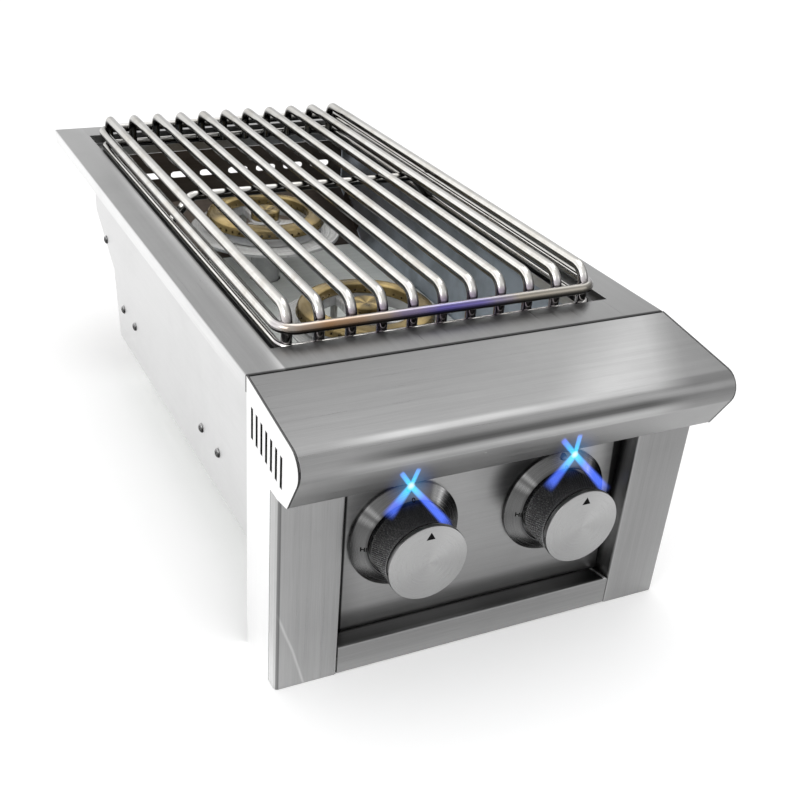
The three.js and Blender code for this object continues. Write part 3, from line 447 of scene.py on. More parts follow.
def railShade(place):
    # painted shade: the ledge behind the front edge is nearly black and darker to the right, with a painted light
    # strip at its right end, and the rail is lighter towards the bottom
    x, y, z = axes(place)
    tone = ramp(y, ((-0.0566, 1.0), (-0.0554, 0.6), (-0.0525, 0.44), (-0.046, 0.52), (-0.0425, 0.5),
                    (-0.0412, 0.12)))
    dusk = ramp(x, ((-0.116, 1.0), (-0.09, 1.0), (0.05, 0.72), (0.075, 0.4), (0.116, 0.2)))
    tone = tone * most(dusk, ramp(y, ((-0.0566, 1.0), (-0.0555, 0.0))))
    tone = tone * ramp(z, ((-0.205, 1.6), (-0.195, 1.35), (-0.187, 1.1)))
    litStrip = ramp(y * 0.22 + x, ((0.1006, 0.0), (0.1011, 1.0), (0.103, 1.0), (0.1035, 0.0)))
    litStrip = litStrip * ramp(axes(normalIn(place.tree))[2], ((0.5, 0.0), (0.9, 1.0)))
    return most(tone, litStrip * 2.3)


def panelShade(place):
    # painted shade: darker to the left, in a painted shadow at the left end, along the foot, in the right knob's
    # painted shadow and in the right corner
    x, z = axes(place)[::2]
    side = ramp(x, ((-0.116, 0.66), (-0.105, 0.76), (-0.09, 1.0), (-0.03, 1.03), (0.04, 0.95), (0.116, 0.95)))
    leftEndShadow = ramp(x, ((-0.1165, 0.1), (-0.1078, 0.06), (-0.1069, 1.0)))
    foot = ramp(z, ((-0.186, 0.95), (-0.179, 0.75), (-0.174, 0.7), (-0.167, 1.0)))
    fromKnob = vectorMath("DISTANCE", place, (0.031, -0.0393, -0.084))
    knobShadow = ramp(fromKnob, ((0.0, 0.22), (0.012, 0.3), (0.03, 1.0)), ease=True)
    edge = ramp((z + 0.178) * 0.062 + (x - 0.1168), ((-0.0008, 1.0), (0.0004, 0.1)))
    return side * leftEndShadow * foot * knobShadow * edge


# the vent slots of an end cap: first and pitch along y, middle height of the first one and its step, and the reach of
# the painted shade round each
slots = {"first": 11.0, "pitch": 8.65, "count": 7, "middle": -16.94, "step": 1.131, "edge": (2.2, 2.6)}


def slotShade(place):
    # painted shade: each pressed slot gets a dark band round it, as the shade in the slot
    y, z = axes(place)[1:]
    first, pitch = slots["first"] * mm, slots["pitch"] * mm
    near, far = [reach * mm for reach in slots["edge"]]
    count = (y + first) / pitch
    nearest = reckon("ROUND", count)
    beside = ramp(abs(count - nearest), ((0.205, 0.0), (0.24, 1.0)))
    last = first + pitch * (slots["count"] - 1)
    outside = ramp(y, ((-last - far, 1.0), (-last - near, 0.0), (near - first, 0.0), (far - first, 1.0)))
    rise = z - (nearest * (slots["step"] * mm) + slots["middle"] * mm)
    return most(beside, outside, ramp(abs(rise), ((0.0114, 0.0), (0.0118, 1.0))))


brushing = {"along": 22, "across": 1500, "marks": 9.0, "wear": 0.45, "smear": 0.2, "bump": (0.12, 0.0002)}


def brushedSteel(name, levels, along, tint=(1.0, 1.0, 1.0), rough=(0.26, 0.4), contrast=0.1, marks=0.25, glow=False,
                 shade=None, inside=None, metallic=1.0):
    # levels are painted light for the ways: right, left, back, front, up, under; shade adds painted light and shade
    # by place
    parts = newMaterial(name)
    place, b = parts[2], brushing
    stretch = [b["along"] if axis == along else b["across"] for axis in "xyz"]
    mapping = addNode(place.tree, "ShaderNodeMapping", {"Vector": place, "Scale": stretch})
    grain = useGroup(place.tree, brushGrain, {"Vector": Wire(mapping.outputs[0])})
    marked = marksOn(place, b["marks"])
    colour = mixed(tint, 1 / (1 + contrast))
    base = mix(grain["Streak"], mixed(colour, 1 - contrast), mixed(colour, 1 + contrast))
    if inside:
        inner = ramp(abs(axes(place)[0]), ((0.1382, 1.0), (0.1386, 0.0)))
        base = mix(inner, base, mix(marked, inside, mixed(inside, 0.6)))
    worn = mix(marked * (marks * b["wear"]), base, mixed(colour, 0.7))
    # painted light and shade darken the worn colour
    tone = facingLightLevel(place.tree, levels)
    if shade:
        tone = tone * shade(place)
    roughness = marked * (marks * b["smear"]) + between(grain["Streak"], *rough)
    return endMaterial(parts, mix(tone, black, worn), roughness, metallic, (grain["Height"], *b["bump"]), glow)


def polishedRod(name):
    parts = newMaterial(name)
    place = parts[2]
    marked = marksOn(place, 40.0)
    base = mix(marked, rgb(1.0, 0.985, 0.95), rgb(0.86, 0.83, 0.77))
    for group in (heatTint, rodLight):
        base = useGroup(place.tree, group, {"Vector": place, "Base": base})["Colour"]
    return endMaterial(parts, base, between(marked, 0.13, 0.26), 1.0, (noise(place, 900.0, 2.0), 0.05, 0.0001))


def turnedMetal(name, colour, centre, axis, rough, contrast, paintedSheen, glow=False, metallic=1.0, spots=0.0, levels=None,
                shadedBores=None, core=None):
    # paintedSheen gives (degrees, level) round the axis, a painted sheen on the turned face; levels give painted
    # light by facing; shadedBores gives two radii and a level, between and below which only drilled holes show, and
    # they are painted dark as shade; core is the radius of what stands on it, round which a painted shadow falls
    parts = newMaterial(name)
    place = parts[2]
    mapping = addNode(place.tree, "ShaderNodeMapping", {"Vector": place, "Location": [-c for c in centre]})
    across, deep, up = axes(Wire(mapping.outputs[0]))
    turned = useGroup(place.tree, turnedGrain, {"Across": across, "Up": up if axis == "y" else deep})
    streak, radius = turned["Streak"], turned["Radius"]
    tone = ramp(turned["Angle"] * (180 / math.pi), paintedSheen, ease=True)
    tone = tone * (streak * (2 * contrast / (1 + contrast)) + (1 - contrast) / (1 + contrast))
    if levels:
        tone = tone * facingLightLevel(place.tree, levels)
    if core:
        tone = tone * ramp(radius, ((core, 0.25), (core + 0.0028, 1.0)))
    if shadedBores:
        inner, outer, top = shadedBores
        drilled = ramp(radius, ((inner, 0.0), (inner + 0.0004, 1.0), (outer - 0.0004, 1.0), (outer, 0.0)))
        tone = tone * (1.0 - drilled * ramp(axes(place)[2], ((top - 0.0002, 0.97), (top, 0.0))))
    base = mix(tone, black, colour)
    if spots:
        base = mix(marksOn(place, 60.0) * spots, base, mixed(colour, 0.35))
    return endMaterial(parts, base, between(streak, *rough), metallic, (streak, 0.1, 0.0002), glow)


def castMetal(name, colour, rough, grainSize, depth, metallic=1.0):
    parts = newMaterial(name)
    pits = noise(parts[2], grainSize, 5.0, 0.6)
    base = mix(marksOn(parts[2], 35.0), mixed(colour, 1.08), mixed(colour, 0.7))
    return endMaterial(parts, base, between(pits, *rough), metallic, (pits, 0.25, depth))


knurling = {
    # painted light: the way it comes from, levels by facing it, and the ground's shaded and lit colours
    "dots": 820.0, "lightFrom": (-0.6, 0.0, -0.8), "metallic": 0.35,
    "lit": ((-0.6, 0.05), (0.1, 0.1), (0.55, 0.36), (0.85, 0.9), (1.0, 1.0)),
    "shadow": rgb(0.01, 0.01, 0.011), "ground": rgb(0.07, 0.07, 0.071), "crest": rgb(0.95, 0.95, 0.95),
}


def knurledBlack(name):
    # painted highlight: the crests of the diamonds are painted bright where they face the light, more so where worn,
    # and the ground is painted lit and shaded
    parts, k = newMaterial(name), knurling
    place = parts[2]
    pointed = Wire(addNode(place.tree, "ShaderNodeNewGeometry").outputs["Pointiness"])
    lit = ramp(vectorMath("DOT_PRODUCT", normalIn(place.tree), k["lightFrom"]), k["lit"])
    marked = marksOn(place, 70.0)
    crest = most(ramp(pointed, ((0.5, 0.0), (0.55, 1.0))), ramp(cells(place, k["dots"]), ((0.25, 1.0), (0.48, 0.0))))
    worn = crest * lit * (marked * 0.2 + 0.85)
    base = mix(worn, mix(lit, k["shadow"], k["ground"]), k["crest"])
    return endMaterial(parts, base, between(marked, 0.3, 0.45), k["metallic"], glow=True)


def paintedMark(name, glow=False):
    parts = newMaterial(name)
    plugAll(parts[1], {"Specular IOR Level": 0.05})
    base = mix(marksOn(parts[2], 900.0), rgb(0.003, 0.003, 0.003), rgb(0.008, 0.008, 0.008))
    return endMaterial(parts, base, 0.8, glow=glow)


def lampLens(name):
    parts = newMaterial(name)
    base = mix(cells(parts[2], 1400.0), rgb(0.1, 0.13, 0.19), rgb(0.06, 0.085, 0.14))
    return endMaterial(parts, base, 0.1, glow=True)


finish = {
    # each sheet's six levels are painted light and shade by the way a face turns; the nose's inside and the faces
    # inside the end caps' slots are painted dark as shade
    "frame": brushedSteel("frameSteel", (0.25, 0.92, 0.4, 0.28, 0.385, 0.1), "y", shade=frameShade),
    "nose": brushedSteel("noseSteel", (1,) * 6, "x", glow=True, marks=0.35, shade=noseShade),
    "noseShadedInside": brushedSteel("noseInnerShadedSteel", (0.05,) * 6, "x", rough=(0.5, 0.6)),
    "stile": brushedSteel("stileSteel", (0.3, 0.9, 0.2, 0.29, 0.3, 0.2), "z", shade=stileShade),
    "rail": brushedSteel("railSteel", (0.3, 0.3, 0.1, 0.24, 0.4, 0.2), "x", shade=railShade),
    "panel": brushedSteel("panelSteel", (0.3, 0.3, 0.2, 0.33, 0.3, 0.2), "x", rough=(0.3, 0.42), glow=True,
                          shade=panelShade),
    "sideSheet": brushedSteel("sideSteel", (0.55, 0.74, 0.4, 0.5, 0.5, 0.5), "y", rough=(0.4, 0.5), contrast=0.03,
                              inside=rgb(0.8, 0.88, 1.0)),
    "endCap": brushedSteel("capSteel", (0.5, 0.95, 0.05, 0.05, 0.12, 0.12), "z", rough=(0.4, 0.5), contrast=0.03,
                           shade=slotShade),
    "darkSheet": brushedSteel("backSteel", (0.5,) * 6, "x", tint=(0.24, 0.2, 0.17), rough=(0.34, 0.5),
                              contrast=0.2, marks=0.8),
    "floorSheet": brushedSteel("floorSteel", (0.9, 0.9, 0.9, 0.9, 1.0, 0.9), "x", tint=(0.97, 1.0, 0.96),
                               rough=(0.42, 0.55), contrast=0.08, marks=0.4, metallic=0.15),
    "rod": polishedRod("rodSteel"),
    "knurl": knurledBlack("knurledBlack"),
    "mark": paintedMark("markPaint"),
    "litMark": paintedMark("litMarkPaint", glow=True),
    "lens": lampLens("lampLens"),
    "screwHead": brushedSteel("screwSteel", (0.12, 0.12, 0.95, 0.01, 0.8, 0.02), "x", rough=(0.2, 0.3)),
    "zinc": castMetal("zincPlate", rgb(0.5, 0.51, 0.52), (0.25, 0.42), 600.0, 0.0001),
    "ceramic": castMetal("electrodeCeramic", rgb(0.85, 0.82, 0.76), (0.3, 0.5), 900.0, 0.00005, metallic=0.0),
    "plastic": castMetal("moulding", rgb(0.03, 0.03, 0.032), (0.45, 0.6), 1500.0, 0.00005, metallic=0.0),
    "brassBody": castMetal("valveBrass", rgb(0.62, 0.46, 0.2), (0.25, 0.4), 500.0, 0.0001),
}
print("finishes made")


def shadeByAngle(mesh, degrees):
    mesh.shade_smooth()
    mesh.set_sharp_from_angle(angle=math.radians(degrees))


def addObject(name, data):
    made = bpy.data.objects.new(name, data)
    scene.collection.objects.link(made)
    return made


def meshOf(bm, name):
    mesh = bpy.data.meshes.new(name)
    bm.to_mesh(mesh)
    bm.free()
    return mesh


def makePiece(name, bm, body, material, replaced=(), smooth=35, outward=True):
    if outward:
        bmesh.ops.recalc_face_normals(bm, faces=bm.faces)
    piece = addObject(name, meshOf(bm, name))
    shadeByAngle(piece.data, smooth)
    piece.data.materials.append(material)
    if replaced:
        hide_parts(*replaced)
    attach(piece, body)
    return piece


softEdge = {"width": 0.3, "segments": 2, "angle": 32, "fold": 1.2, "foldSegments": 4}


def addBevel(piece, width):
    bevel = piece.modifiers.new("softEdges", "BEVEL")
    bevel.width = width * mm
    bevel.segments = softEdge["segments"]
    bevel.limit_method = "ANGLE"
    bevel.angle_limit = math.radians(softEdge["angle"])
    bevel.harden_normals = True


def bevelEdges(bm, edges, offset, segments):
    bmesh.ops.bevel(bm, geom=list(edges), offset=offset, offset_type="OFFSET", segments=segments, profile=0.5,
                    affect="EDGES", clamp_overlap=True, material=-1)


def softenedCopy(node, material, folds=None):
    bm = bmesh.new()
    bm.from_mesh(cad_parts[node].data)
    bmesh.ops.remove_doubles(bm, verts=bm.verts, dist=1e-5)
    bmesh.ops.dissolve_limit(bm, angle_limit=math.radians(0.6), verts=bm.verts, edges=bm.edges,
                             use_dissolve_boundaries=False)
    if folds:
        bevelEdges(bm, [e for e in bm.edges if folds(e)], softEdge["fold"] * mm, softEdge["foldSegments"])
    piece = makePiece(node + "_skin", bm, "burner_box", material, replaced=(node,), smooth=30,
                      outward=False)
    addBevel(piece, softEdge["width"])


def spunProfile(bm, points, centre, axis, steps, closed=True, level=0.0):
    # points are (radius, position along the axis from level) in mm; they are turned once round the axis
    cx, cy, cz = centre
    made = []
    for radius, along in points:
        spot = (cx + radius, level + along, cz) if axis == "y" else (cx + radius, cy, level + along)
        made.append(bm.verts.new([c * mm for c in spot]))
    pairs = list(zip(made, made[1:]))
    if closed:
        pairs.append((made[-1], made[0]))
    edges = [bm.edges.new(pair) for pair in pairs]
    turn = (0, 1, 0) if axis == "y" else (0, 0, 1)
    bmesh.ops.spin(bm, geom=made + edges, cent=[c * mm for c in centre], axis=turn, angle=2 * math.pi, steps=steps,
                   use_merge=True)
    bmesh.ops.remove_doubles(bm, verts=bm.verts, dist=1e-6)
    return bm


def vertsOf(geometry):
    return [g for g in geometry if isinstance(g, bmesh.types.BMVert)]


def edgesOf(geometry):
    return [g for g in geometry if isinstance(g, bmesh.types.BMEdge)]


def sweptRod(bm, points, bend, radius, sides, steps=8, closed=False):
    # a rod from point to point, in mm, with a round bend at each corner
    spots = [Vector(p) * mm for p in points]
    runs = [b - a for a, b in zip(spots, spots[1:])]
    headings = [run.normalized() for run in runs]
    angles = [a.angle(b) for a, b in zip(headings, headings[1:])]
    # what the bends take off the runs, with nothing at the two ends
    taken = [0.0, *[bend * mm * math.tan(angle / 2) for angle in angles], 0.0]
    facing = headings[0].to_track_quat("Z", "Y").to_matrix().to_4x4()
    ring = bmesh.ops.create_circle(bm, cap_ends=False, segments=sides, radius=radius * mm,
                                   matrix=Matrix.Translation(spots[0]) @ facing)
    edges = list({e for v in ring["verts"] for e in v.link_edges})
    ends = [edges]
    for i, heading in enumerate(headings):
        grown = bmesh.ops.extrude_edge_only(bm, edges=edges)["geom"]
        moved = vertsOf(grown)
        bmesh.ops.translate(bm, verts=moved, vec=heading * (runs[i].length - taken[i] - taken[i + 1]))
        edges = [e for e in edgesOf(grown) if set(e.verts) <= set(moved)]
        if i < len(angles) and angles[i] > 1e-4:
            after = headings[i + 1]
            inward = (after - heading * heading.dot(after)).normalized()
            corner = spots[i + 1] - heading * taken[i + 1] + inward * (bend * mm)
            spun = bmesh.ops.spin(bm, geom=edges, cent=corner, axis=heading.cross(after), angle=angles[i],
                                  steps=steps)
            edges = edgesOf(spun["geom_last"])
    if closed:
        bmesh.ops.remove_doubles(bm, verts=bm.verts, dist=2e-6)
        return
    for end in (*ends, edges):
        cap = bmesh.ops.contextual_create(bm, geom=end)["faces"]
        bevelEdges(bm, {e for f in cap for e in f.edges}, 0.32 * radius * mm, 3)


def blob(bm, spot, size, squash):
    matrix = Matrix.Translation(Vector(spot) * mm) @ Matrix.Diagonal((*squash, 1))
    bmesh.ops.create_icosphere(bm, subdivisions=2, radius=size * mm, matrix=matrix)


def cutWith(piece, bm, name, crossing=False):
    # what bm holds is cut out of the piece, and the cut becomes part of its mesh
    bmesh.ops.recalc_face_normals(bm, faces=bm.faces)
    tool = addObject(name, meshOf(bm, name))
    cut = piece.modifiers.new(name, "BOOLEAN")
    cut.operation = "DIFFERENCE"
    cut.object = tool
    cut.solver = "EXACT"
    cut.use_self = crossing
    done = bpy.data.meshes.new_from_object(piece.evaluated_get(bpy.context.evaluated_depsgraph_get()))
    piece.modifiers.clear()
    old = piece.data
    piece.data = done
    bpy.data.meshes.remove(old)
    bpy.data.objects.remove(tool)


view = {
    # place in metres and the way it faces; focal length and centre in pixels of the 800 pixel photograph
    "place": (-0.37946, -0.60183, 0.34087),
    "right": (0.908107, -0.415339, 0.053241),
    "up": (0.18876, 0.519533, 0.83334),
    "back": (-0.373779, -0.746712, 0.550191),
    "focal": 1112.89, "centre": (360.0, 500.0), "frame": 800.0, "sensor": 36.0,
}
cameraData = bpy.data.cameras.new("photoView")
cameraData.sensor_width = view["sensor"]
cameraData.lens = view["focal"] * view["sensor"] / view["frame"]
cameraData.shift_x = 0.5 - view["centre"][0] / view["frame"]
cameraData.shift_y = view["centre"][1] / view["frame"] - 0.5
cameraData.clip_end = 60.0
camera = addObject("photoView", cameraData)
turn = Matrix((view["right"], view["up"], view["back"])).transposed()
camera.matrix_world = Matrix.Translation(view["place"]) @ turn.to_4x4()
scene.camera = camera

stageSet = {"middle": (0, 0.25, -0.2102), "size": 14.0, "glow": 0.13,
            "dark": rgb(0.9, 0.9, 0.9), "pale": rgb(0.92, 0.92, 0.92)}


def whiteForSight(tree):
    rays = addNode(tree, "ShaderNodeLightPath").outputs
    return most(*[Wire(rays[f"Is {ray} Ray"]) for ray in ("Camera", "Glossy", "Transmission")])


world = bpy.data.worlds.new("studio")
scene.world = world
world.use_nodes = True
plugAll(world.node_tree.nodes["Background"], {"Color": white, "Strength": 1.0})

bm = bmesh.new()
bmesh.ops.create_grid(bm, x_segments=1, y_segments=1, size=stageSet["size"] / 2,
                      matrix=Matrix.Translation(stageSet["middle"]))
floor = addObject("floor", meshOf(bm, "floor"))
floorParts = newMaterial("floorPaint")
_, floorShader, floorPlace = floorParts
floorGlow = whiteForSight(floorPlace.tree) * stageSet["glow"]
plugAll(floorShader, {"Specular IOR Level": 0.1, "Emission Color": white, "Emission Strength": floorGlow})
dust = mix(noise(floorPlace, 3.0, 3.0), stageSet["dark"], stageSet["pale"])
floor.data.materials.append(endMaterial(floorParts, dust, 0.9))

lamps = {
    "leftKey": {"place": (-1.35, -0.55, 0.95), "size": 0.9, "watts": 6.0},
    "topSoft": {"place": (0.25, 0.5, 1.7), "size": 1.3, "watts": 5.0},
    "rightFill": {"place": (1.2, -1.0, 0.7), "size": 0.9, "watts": 2.0},
}
lampAim = Vector((0, 0.2, -0.05))
for lampName, lamp in lamps.items():
    light = bpy.data.lights.new(lampName, "AREA")
    light.energy = lamp["watts"]
    light.size = lamp["size"]
    aim = (lampAim - Vector(lamp["place"])).to_track_quat("-Z", "Y").to_matrix().to_4x4()
    addObject(lampName, light).matrix_world = Matrix.Translation(lamp["place"]) @ aim
print("camera and light set")

# sheet metal: each node's slot and finish
skins = {
    "top_frame": ("brushed_steel", "frame"),
    "left_side_panel": ("pale_steel", "sideSheet"),
    "right_side_panel": ("pale_steel", "sideSheet"),
    "back_panel": ("box_steel", "darkSheet"),
    "firebox_floor": ("box_steel", "floorSheet"),
    "front_baffle": ("box_steel", "darkSheet"),
    "bottom_panel": ("box_steel", "floorSheet"),
    "left_end_cap": ("pale_steel", "endCap"),
    "right_end_cap": ("pale_steel", "endCap"),
    "left_stile": ("brushed_steel", "stile"),
    "right_stile": ("brushed_steel", "stile"),
    "bottom_rail": ("brushed_steel", "rail"),
    "control_panel": ("brushed_steel", "panel"),
    "front_burner_bracket": ("box_steel", "floorSheet"),
    "rear_burner_bracket": ("box_steel", "floorSheet"),
}


def flangeFold(edge):
    # the outer top edges of the flange are folded, not cut
    low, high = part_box("top_frame")

    def flush(corner, axis):
        return all(abs(v.co[axis] - corner[axis]) < 1e-4 for v in edge.verts)

    return flush(high, 2) and any(flush(corner, axis) for corner in (low, high) for axis in (0, 1))


for node, (slotName, finishName) in skins.items():
    softenedCopy(node, finish[finishName], flangeFold if node == "top_frame" else None)

bullnose = {
    # the sheet's line from the seam to the back of the lip, as (y, z), and the bends at its inner corners
    "half": 163.5,
    "sheet": 1.2,
    "corners": [(-0.3, 1.5), (-0.3, 12.5), (-99.2, -0.5), (-73.4, -44.0), (-38.1, -44.0)],
    "bends": [1.8, 14.3, 1.8],
    "steps": [4, 22, 4],
    "softEdge": 0.25,
}


def buildBullnose():
    b, bm = bullnose, bmesh.new()
    made = [bm.verts.new((-b["half"] * mm, y * mm, z * mm)) for y, z in b["corners"]]
    edges = [bm.edges.new(pair) for pair in zip(made, made[1:])]
    grown = bmesh.ops.extrude_edge_only(bm, edges=edges)["geom"]
    bmesh.ops.translate(bm, verts=vertsOf(grown), vec=(2 * b["half"] * mm, 0, 0))
    corners = [Vector(corner) for corner in b["corners"]]
    for before, corner, after, radius, steps in zip(corners, corners[1:], corners[2:], b["bends"], b["steps"]):
        offset = radius * math.tan((corner - before).angle(after - corner) / 2)
        fold = [e for e in bm.edges if all((v.co.yz - corner * mm).length < 1e-5 for v in e.verts)]
        bevelEdges(bm, fold, offset * mm, steps)
    bmesh.ops.recalc_face_normals(bm, faces=bm.faces)
    if max(bm.faces, key=lambda f: f.calc_area()).normal.z < 0:
        bmesh.ops.reverse_faces(bm, faces=bm.faces)
    outer = set(bm.faces)
    bmesh.ops.solidify(bm, geom=bm.faces, thickness=b["sheet"] * mm)
    # the outer faces and the narrow cut edges are polished, and the inside is painted dark as shade
    narrow = b["sheet"] * mm * 0.05
    for face in bm.faces:
        face.material_index = 0 if face in outer or face.calc_area() < narrow else 1
    piece = makePiece("bullnose_skin", bm, "burner_box", finish["nose"],
                      replaced=("bullnose_panel",), smooth=30)
    piece.data.materials.append(finish["noseShadedInside"])
    addBevel(piece, b["softEdge"])


buildBullnose()

rivet = {"spot": (-33.7, -85.6, -22.3), "radius": 1.7, "height": 0.8, "lean": 30.0}
bm = bmesh.new()
bmesh.ops.create_uvsphere(bm, u_segments=16, v_segments=8, radius=rivet["radius"] * mm)
bmesh.ops.scale(bm, verts=bm.verts, vec=(1, 1, rivet["height"] / rivet["radius"]))
bmesh.ops.rotate(bm, verts=bm.verts, matrix=Matrix.Rotation(math.radians(90 + rivet["lean"]), 3, "X"))
bmesh.ops.translate(bm, verts=bm.verts, vec=Vector(rivet["spot"]) * mm)
makePiece("lip_rivet", bm, "burner_box", finish["nose"])
print("sheet metal made")

screw = {
    # the head's dome as shares of its radius and height, and how far the first one and each next one is turned
    "head": 4.2, "height": 2.3, "dome": ((0, 1), (0.34, 0.97), (0.64, 0.82), (0.86, 0.55), (0.97, 0.24), (1, 0)),
    "shank": 2.0, "length": 8.0, "slot": 0.9, "slotReach": 2.6, "slotDepth": 1.1, "sides": 20, "turned": (17, 31),
}


def buildScrews():
    s, h = screw, screw["height"]
    profile = [(s["head"] * out, h * up) for out, up in s["dome"]]
    profile += [(s["shank"], 0), (s["shank"], -s["length"]), (0, -s["length"])]
    bm = spunProfile(bmesh.new(), profile, (0, 0, 0), "z", s["sides"], closed=False)
    bmesh.ops.recalc_face_normals(bm, faces=bm.faces)
    pattern = addObject("screwPattern", meshOf(bm, "screwPattern"))
    bm = bmesh.new()
    size = Matrix.Diagonal((2 * s["slotReach"] * mm, s["slot"] * mm, 2 * s["slotDepth"] * mm, 1))
    for angle in (0, 90):
        cut = Matrix.Rotation(math.radians(angle), 4, "Z") @ size
        bmesh.ops.create_cube(bm, size=1.0, matrix=Matrix.Translation((0, 0, h * mm)) @ cut)
    cutWith(pattern, bm, "cross", crossing=True)
    first, step = s["turned"]
    for side, sign in (("left", -1), ("right", 1)):
        face = Vector((sign, 0, 0)).to_track_quat("Z", "Y").to_matrix().to_4x4()
        for index in range(1, 6):
            node = f"{side}_side_screw_{index}"
            low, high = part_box(node)
            seat = high.x - h * mm if sign > 0 else low.x + h * mm
            spot = Vector((seat, (low.y + high.y) / 2, (low.z + high.z) / 2))
            bm = bmesh.new()
            bm.from_mesh(pattern.data)
            spin = Matrix.Rotation(math.radians(first + step * index), 4, "Z")
            bmesh.ops.transform(bm, matrix=Matrix.Translation(spot) @ face @ spin, verts=bm.verts)
            makePiece(f"{side}_screw_{index}", bm, "burner_box", finish["screwHead"], replaced=(node,),
                      outward=False)
    bpy.data.objects.remove(pattern)


buildScrews()
print("screws made")

grate = {
    # eleven bars bent down at both ends, joined by two rings and a cross rod, with weld beads where they meet
    "bars": 11, "outer": 120.25, "barRadius": 4.0, "front": 43.5, "back": 531.0, "top": 34.0, "foot": 4.6,
    "bend": 12.0, "sides": 20,
    "rim": {"radius": 4.0, "half": 127.25, "front": 36.5, "back": 538.0, "level": 21.5, "bend": 14.0,
            "beadOut": 3.6, "beadTall": 1.1},
    "footRing": {"radius": 3.0, "half": 126.25, "front": 37.5, "back": 537.0, "level": 7.5, "bend": 12.0,
                 "beadOut": 3.3, "beadTall": 0.9},
    "cross": {"y": 302.0, "level": 27.0, "half": 106.25, "foot": 123.25, "bend": 9.0, "steps": 5},
    "bead": 2.3, "beadAside": 2.0, "crossBead": (0.9, 1.7, 0.7), "crossBeadUnder": 3.6,
}


def buildGrate():
    g, bm = grate, bmesh.new()
    rings, cross = (g["rim"], g["footRing"]), g["cross"]
    pitch = 2 * g["outer"] / (g["bars"] - 1)
    rows = [i * pitch - g["outer"] for i in range(g["bars"])]
    side = [(g["front"], g["foot"]), (g["front"], g["top"]), (g["back"], g["top"]), (g["back"], g["foot"])]
    for x in rows:
        sweptRod(bm, [(x, *spot) for spot in side], g["bend"], g["barRadius"], g["sides"])
    for ring in rings:
        half, front, back = ring["half"], ring["front"], ring["back"]
        loop = [(0, back), (half, back), (half, front), (-half, front), (-half, back), (0, back)]
        loop = [(*spot, ring["level"]) for spot in loop]
        sweptRod(bm, loop, ring["bend"], ring["radius"], g["sides"], closed=True)
    reach = [(-cross["foot"], g["footRing"]["level"]), (-cross["half"], cross["level"]),
             (cross["half"], cross["level"]), (cross["foot"], g["footRing"]["level"])]
    reach = [(x, cross["y"], z) for x, z in reach]
    sweptRod(bm, reach, cross["bend"], g["barRadius"], g["sides"], steps=cross["steps"])
    for x in rows:
        for ring in rings:
            for y in (g["front"] - ring["beadOut"], g["back"] + ring["beadOut"]):
                for aside in (-g["beadAside"], g["beadAside"]):
                    blob(bm, (x + aside, y, ring["level"]), g["bead"], (0.9, 0.8, ring["beadTall"]))
        blob(bm, (x, cross["y"], g["top"] - g["crossBeadUnder"]), g["bead"], g["crossBead"])
    makePiece("grate_rods", bm, "grate", finish["rod"],
              replaced=("grate", "grate_foot_ring", "grate_cross_rod"), smooth=50)


buildGrate()
print("grate made")

burnerSizes = {
    # levels in mm, and profiles as (radius, height over the level of their part)
    "baseLevel": -47.2, "ringLevel": -38.3, "capLevel": -37.3, "plateLevel": -47.5, "plateFlat": 66.5,
    "seat": ((43.2, 0), (55.2, 0), (56, 0.8), (56, 7.8), (55.4, 8.6), (54, 8.6), (54, 12), (46, 12), (46, 8.6),
             (43.9, 8.6), (43.2, 7.8)),
    "hub": ((0, 4.6), (12.4, 4.6), (12.4, -58.3), (14.4, -58.3), (14.4, -1), (15, 0), (15, 8.6), (14, 9.6),
            (9.6, 9.6), (9.6, 12), (0, 12)),
    "ring": ((54.6, 0), (58.2, 0), (58.5, 0.3), (58.35, 0.9), (56.6, 6.2), (56.0, 6.9), (53.5, 7.9), (50.0, 8.6),
             (46.5, 8.9), (43.6, 8.8), (42.1, 8.3), (41.5, 7.5), (41.5, 0.3), (41.8, 0), (45.4, 0), (45.4, 4.2),
             (54.6, 4.2)),
    "cap": ((0, 2.4), (10.2, 2.4), (10.2, 0), (13.9, 0), (14.2, 0.3), (14.2, 7.6), (13.8, 8.5), (12.6, 9.2),
            (11.0, 9.4), (6.0, 9.4), (5.0, 9.1), (2.6, 8.5), (0, 8.3)),
    "plate": ((44.5, -1.2), (44.5, -0.3), (44.8, 0), (72.6, 0), (73.6, -0.4), (74, -1.4), (74, -3), (72.8, -3),
              (72.8, -1.7), (72.4, -1.2)),
    "arm": {"count": 3, "middle": 29.0, "length": 32.0, "half": 8.5, "height": 7.0, "bend": 1.6},
    # drilled ports as (count, distance from the middle, height, radius, length, lean)
    "ringPorts": ((49, 56.5, 2.6, 1.25, 6.0, 10), (30, 43.4, 2.6, 1.125, 6.0, 0)),
    "capPorts": ((12, 12.2, 4.6, 1.125, 7.0, 0),),
    "electrode": {"behind": 64.0, "tip": (-44.0, -38.0), "tipRadius": 0.95,
                  "body": ((0, -73.5), (2.8, -73.5), (3.2, -73.1), (3.2, -47.2), (4.7, -47.2), (5, -46.9), (5, -45.1),
                           (4.7, -44.8), (3.2, -44.8), (3.2, -44.0), (2.7, -43.6), (0, -43.6))},
}
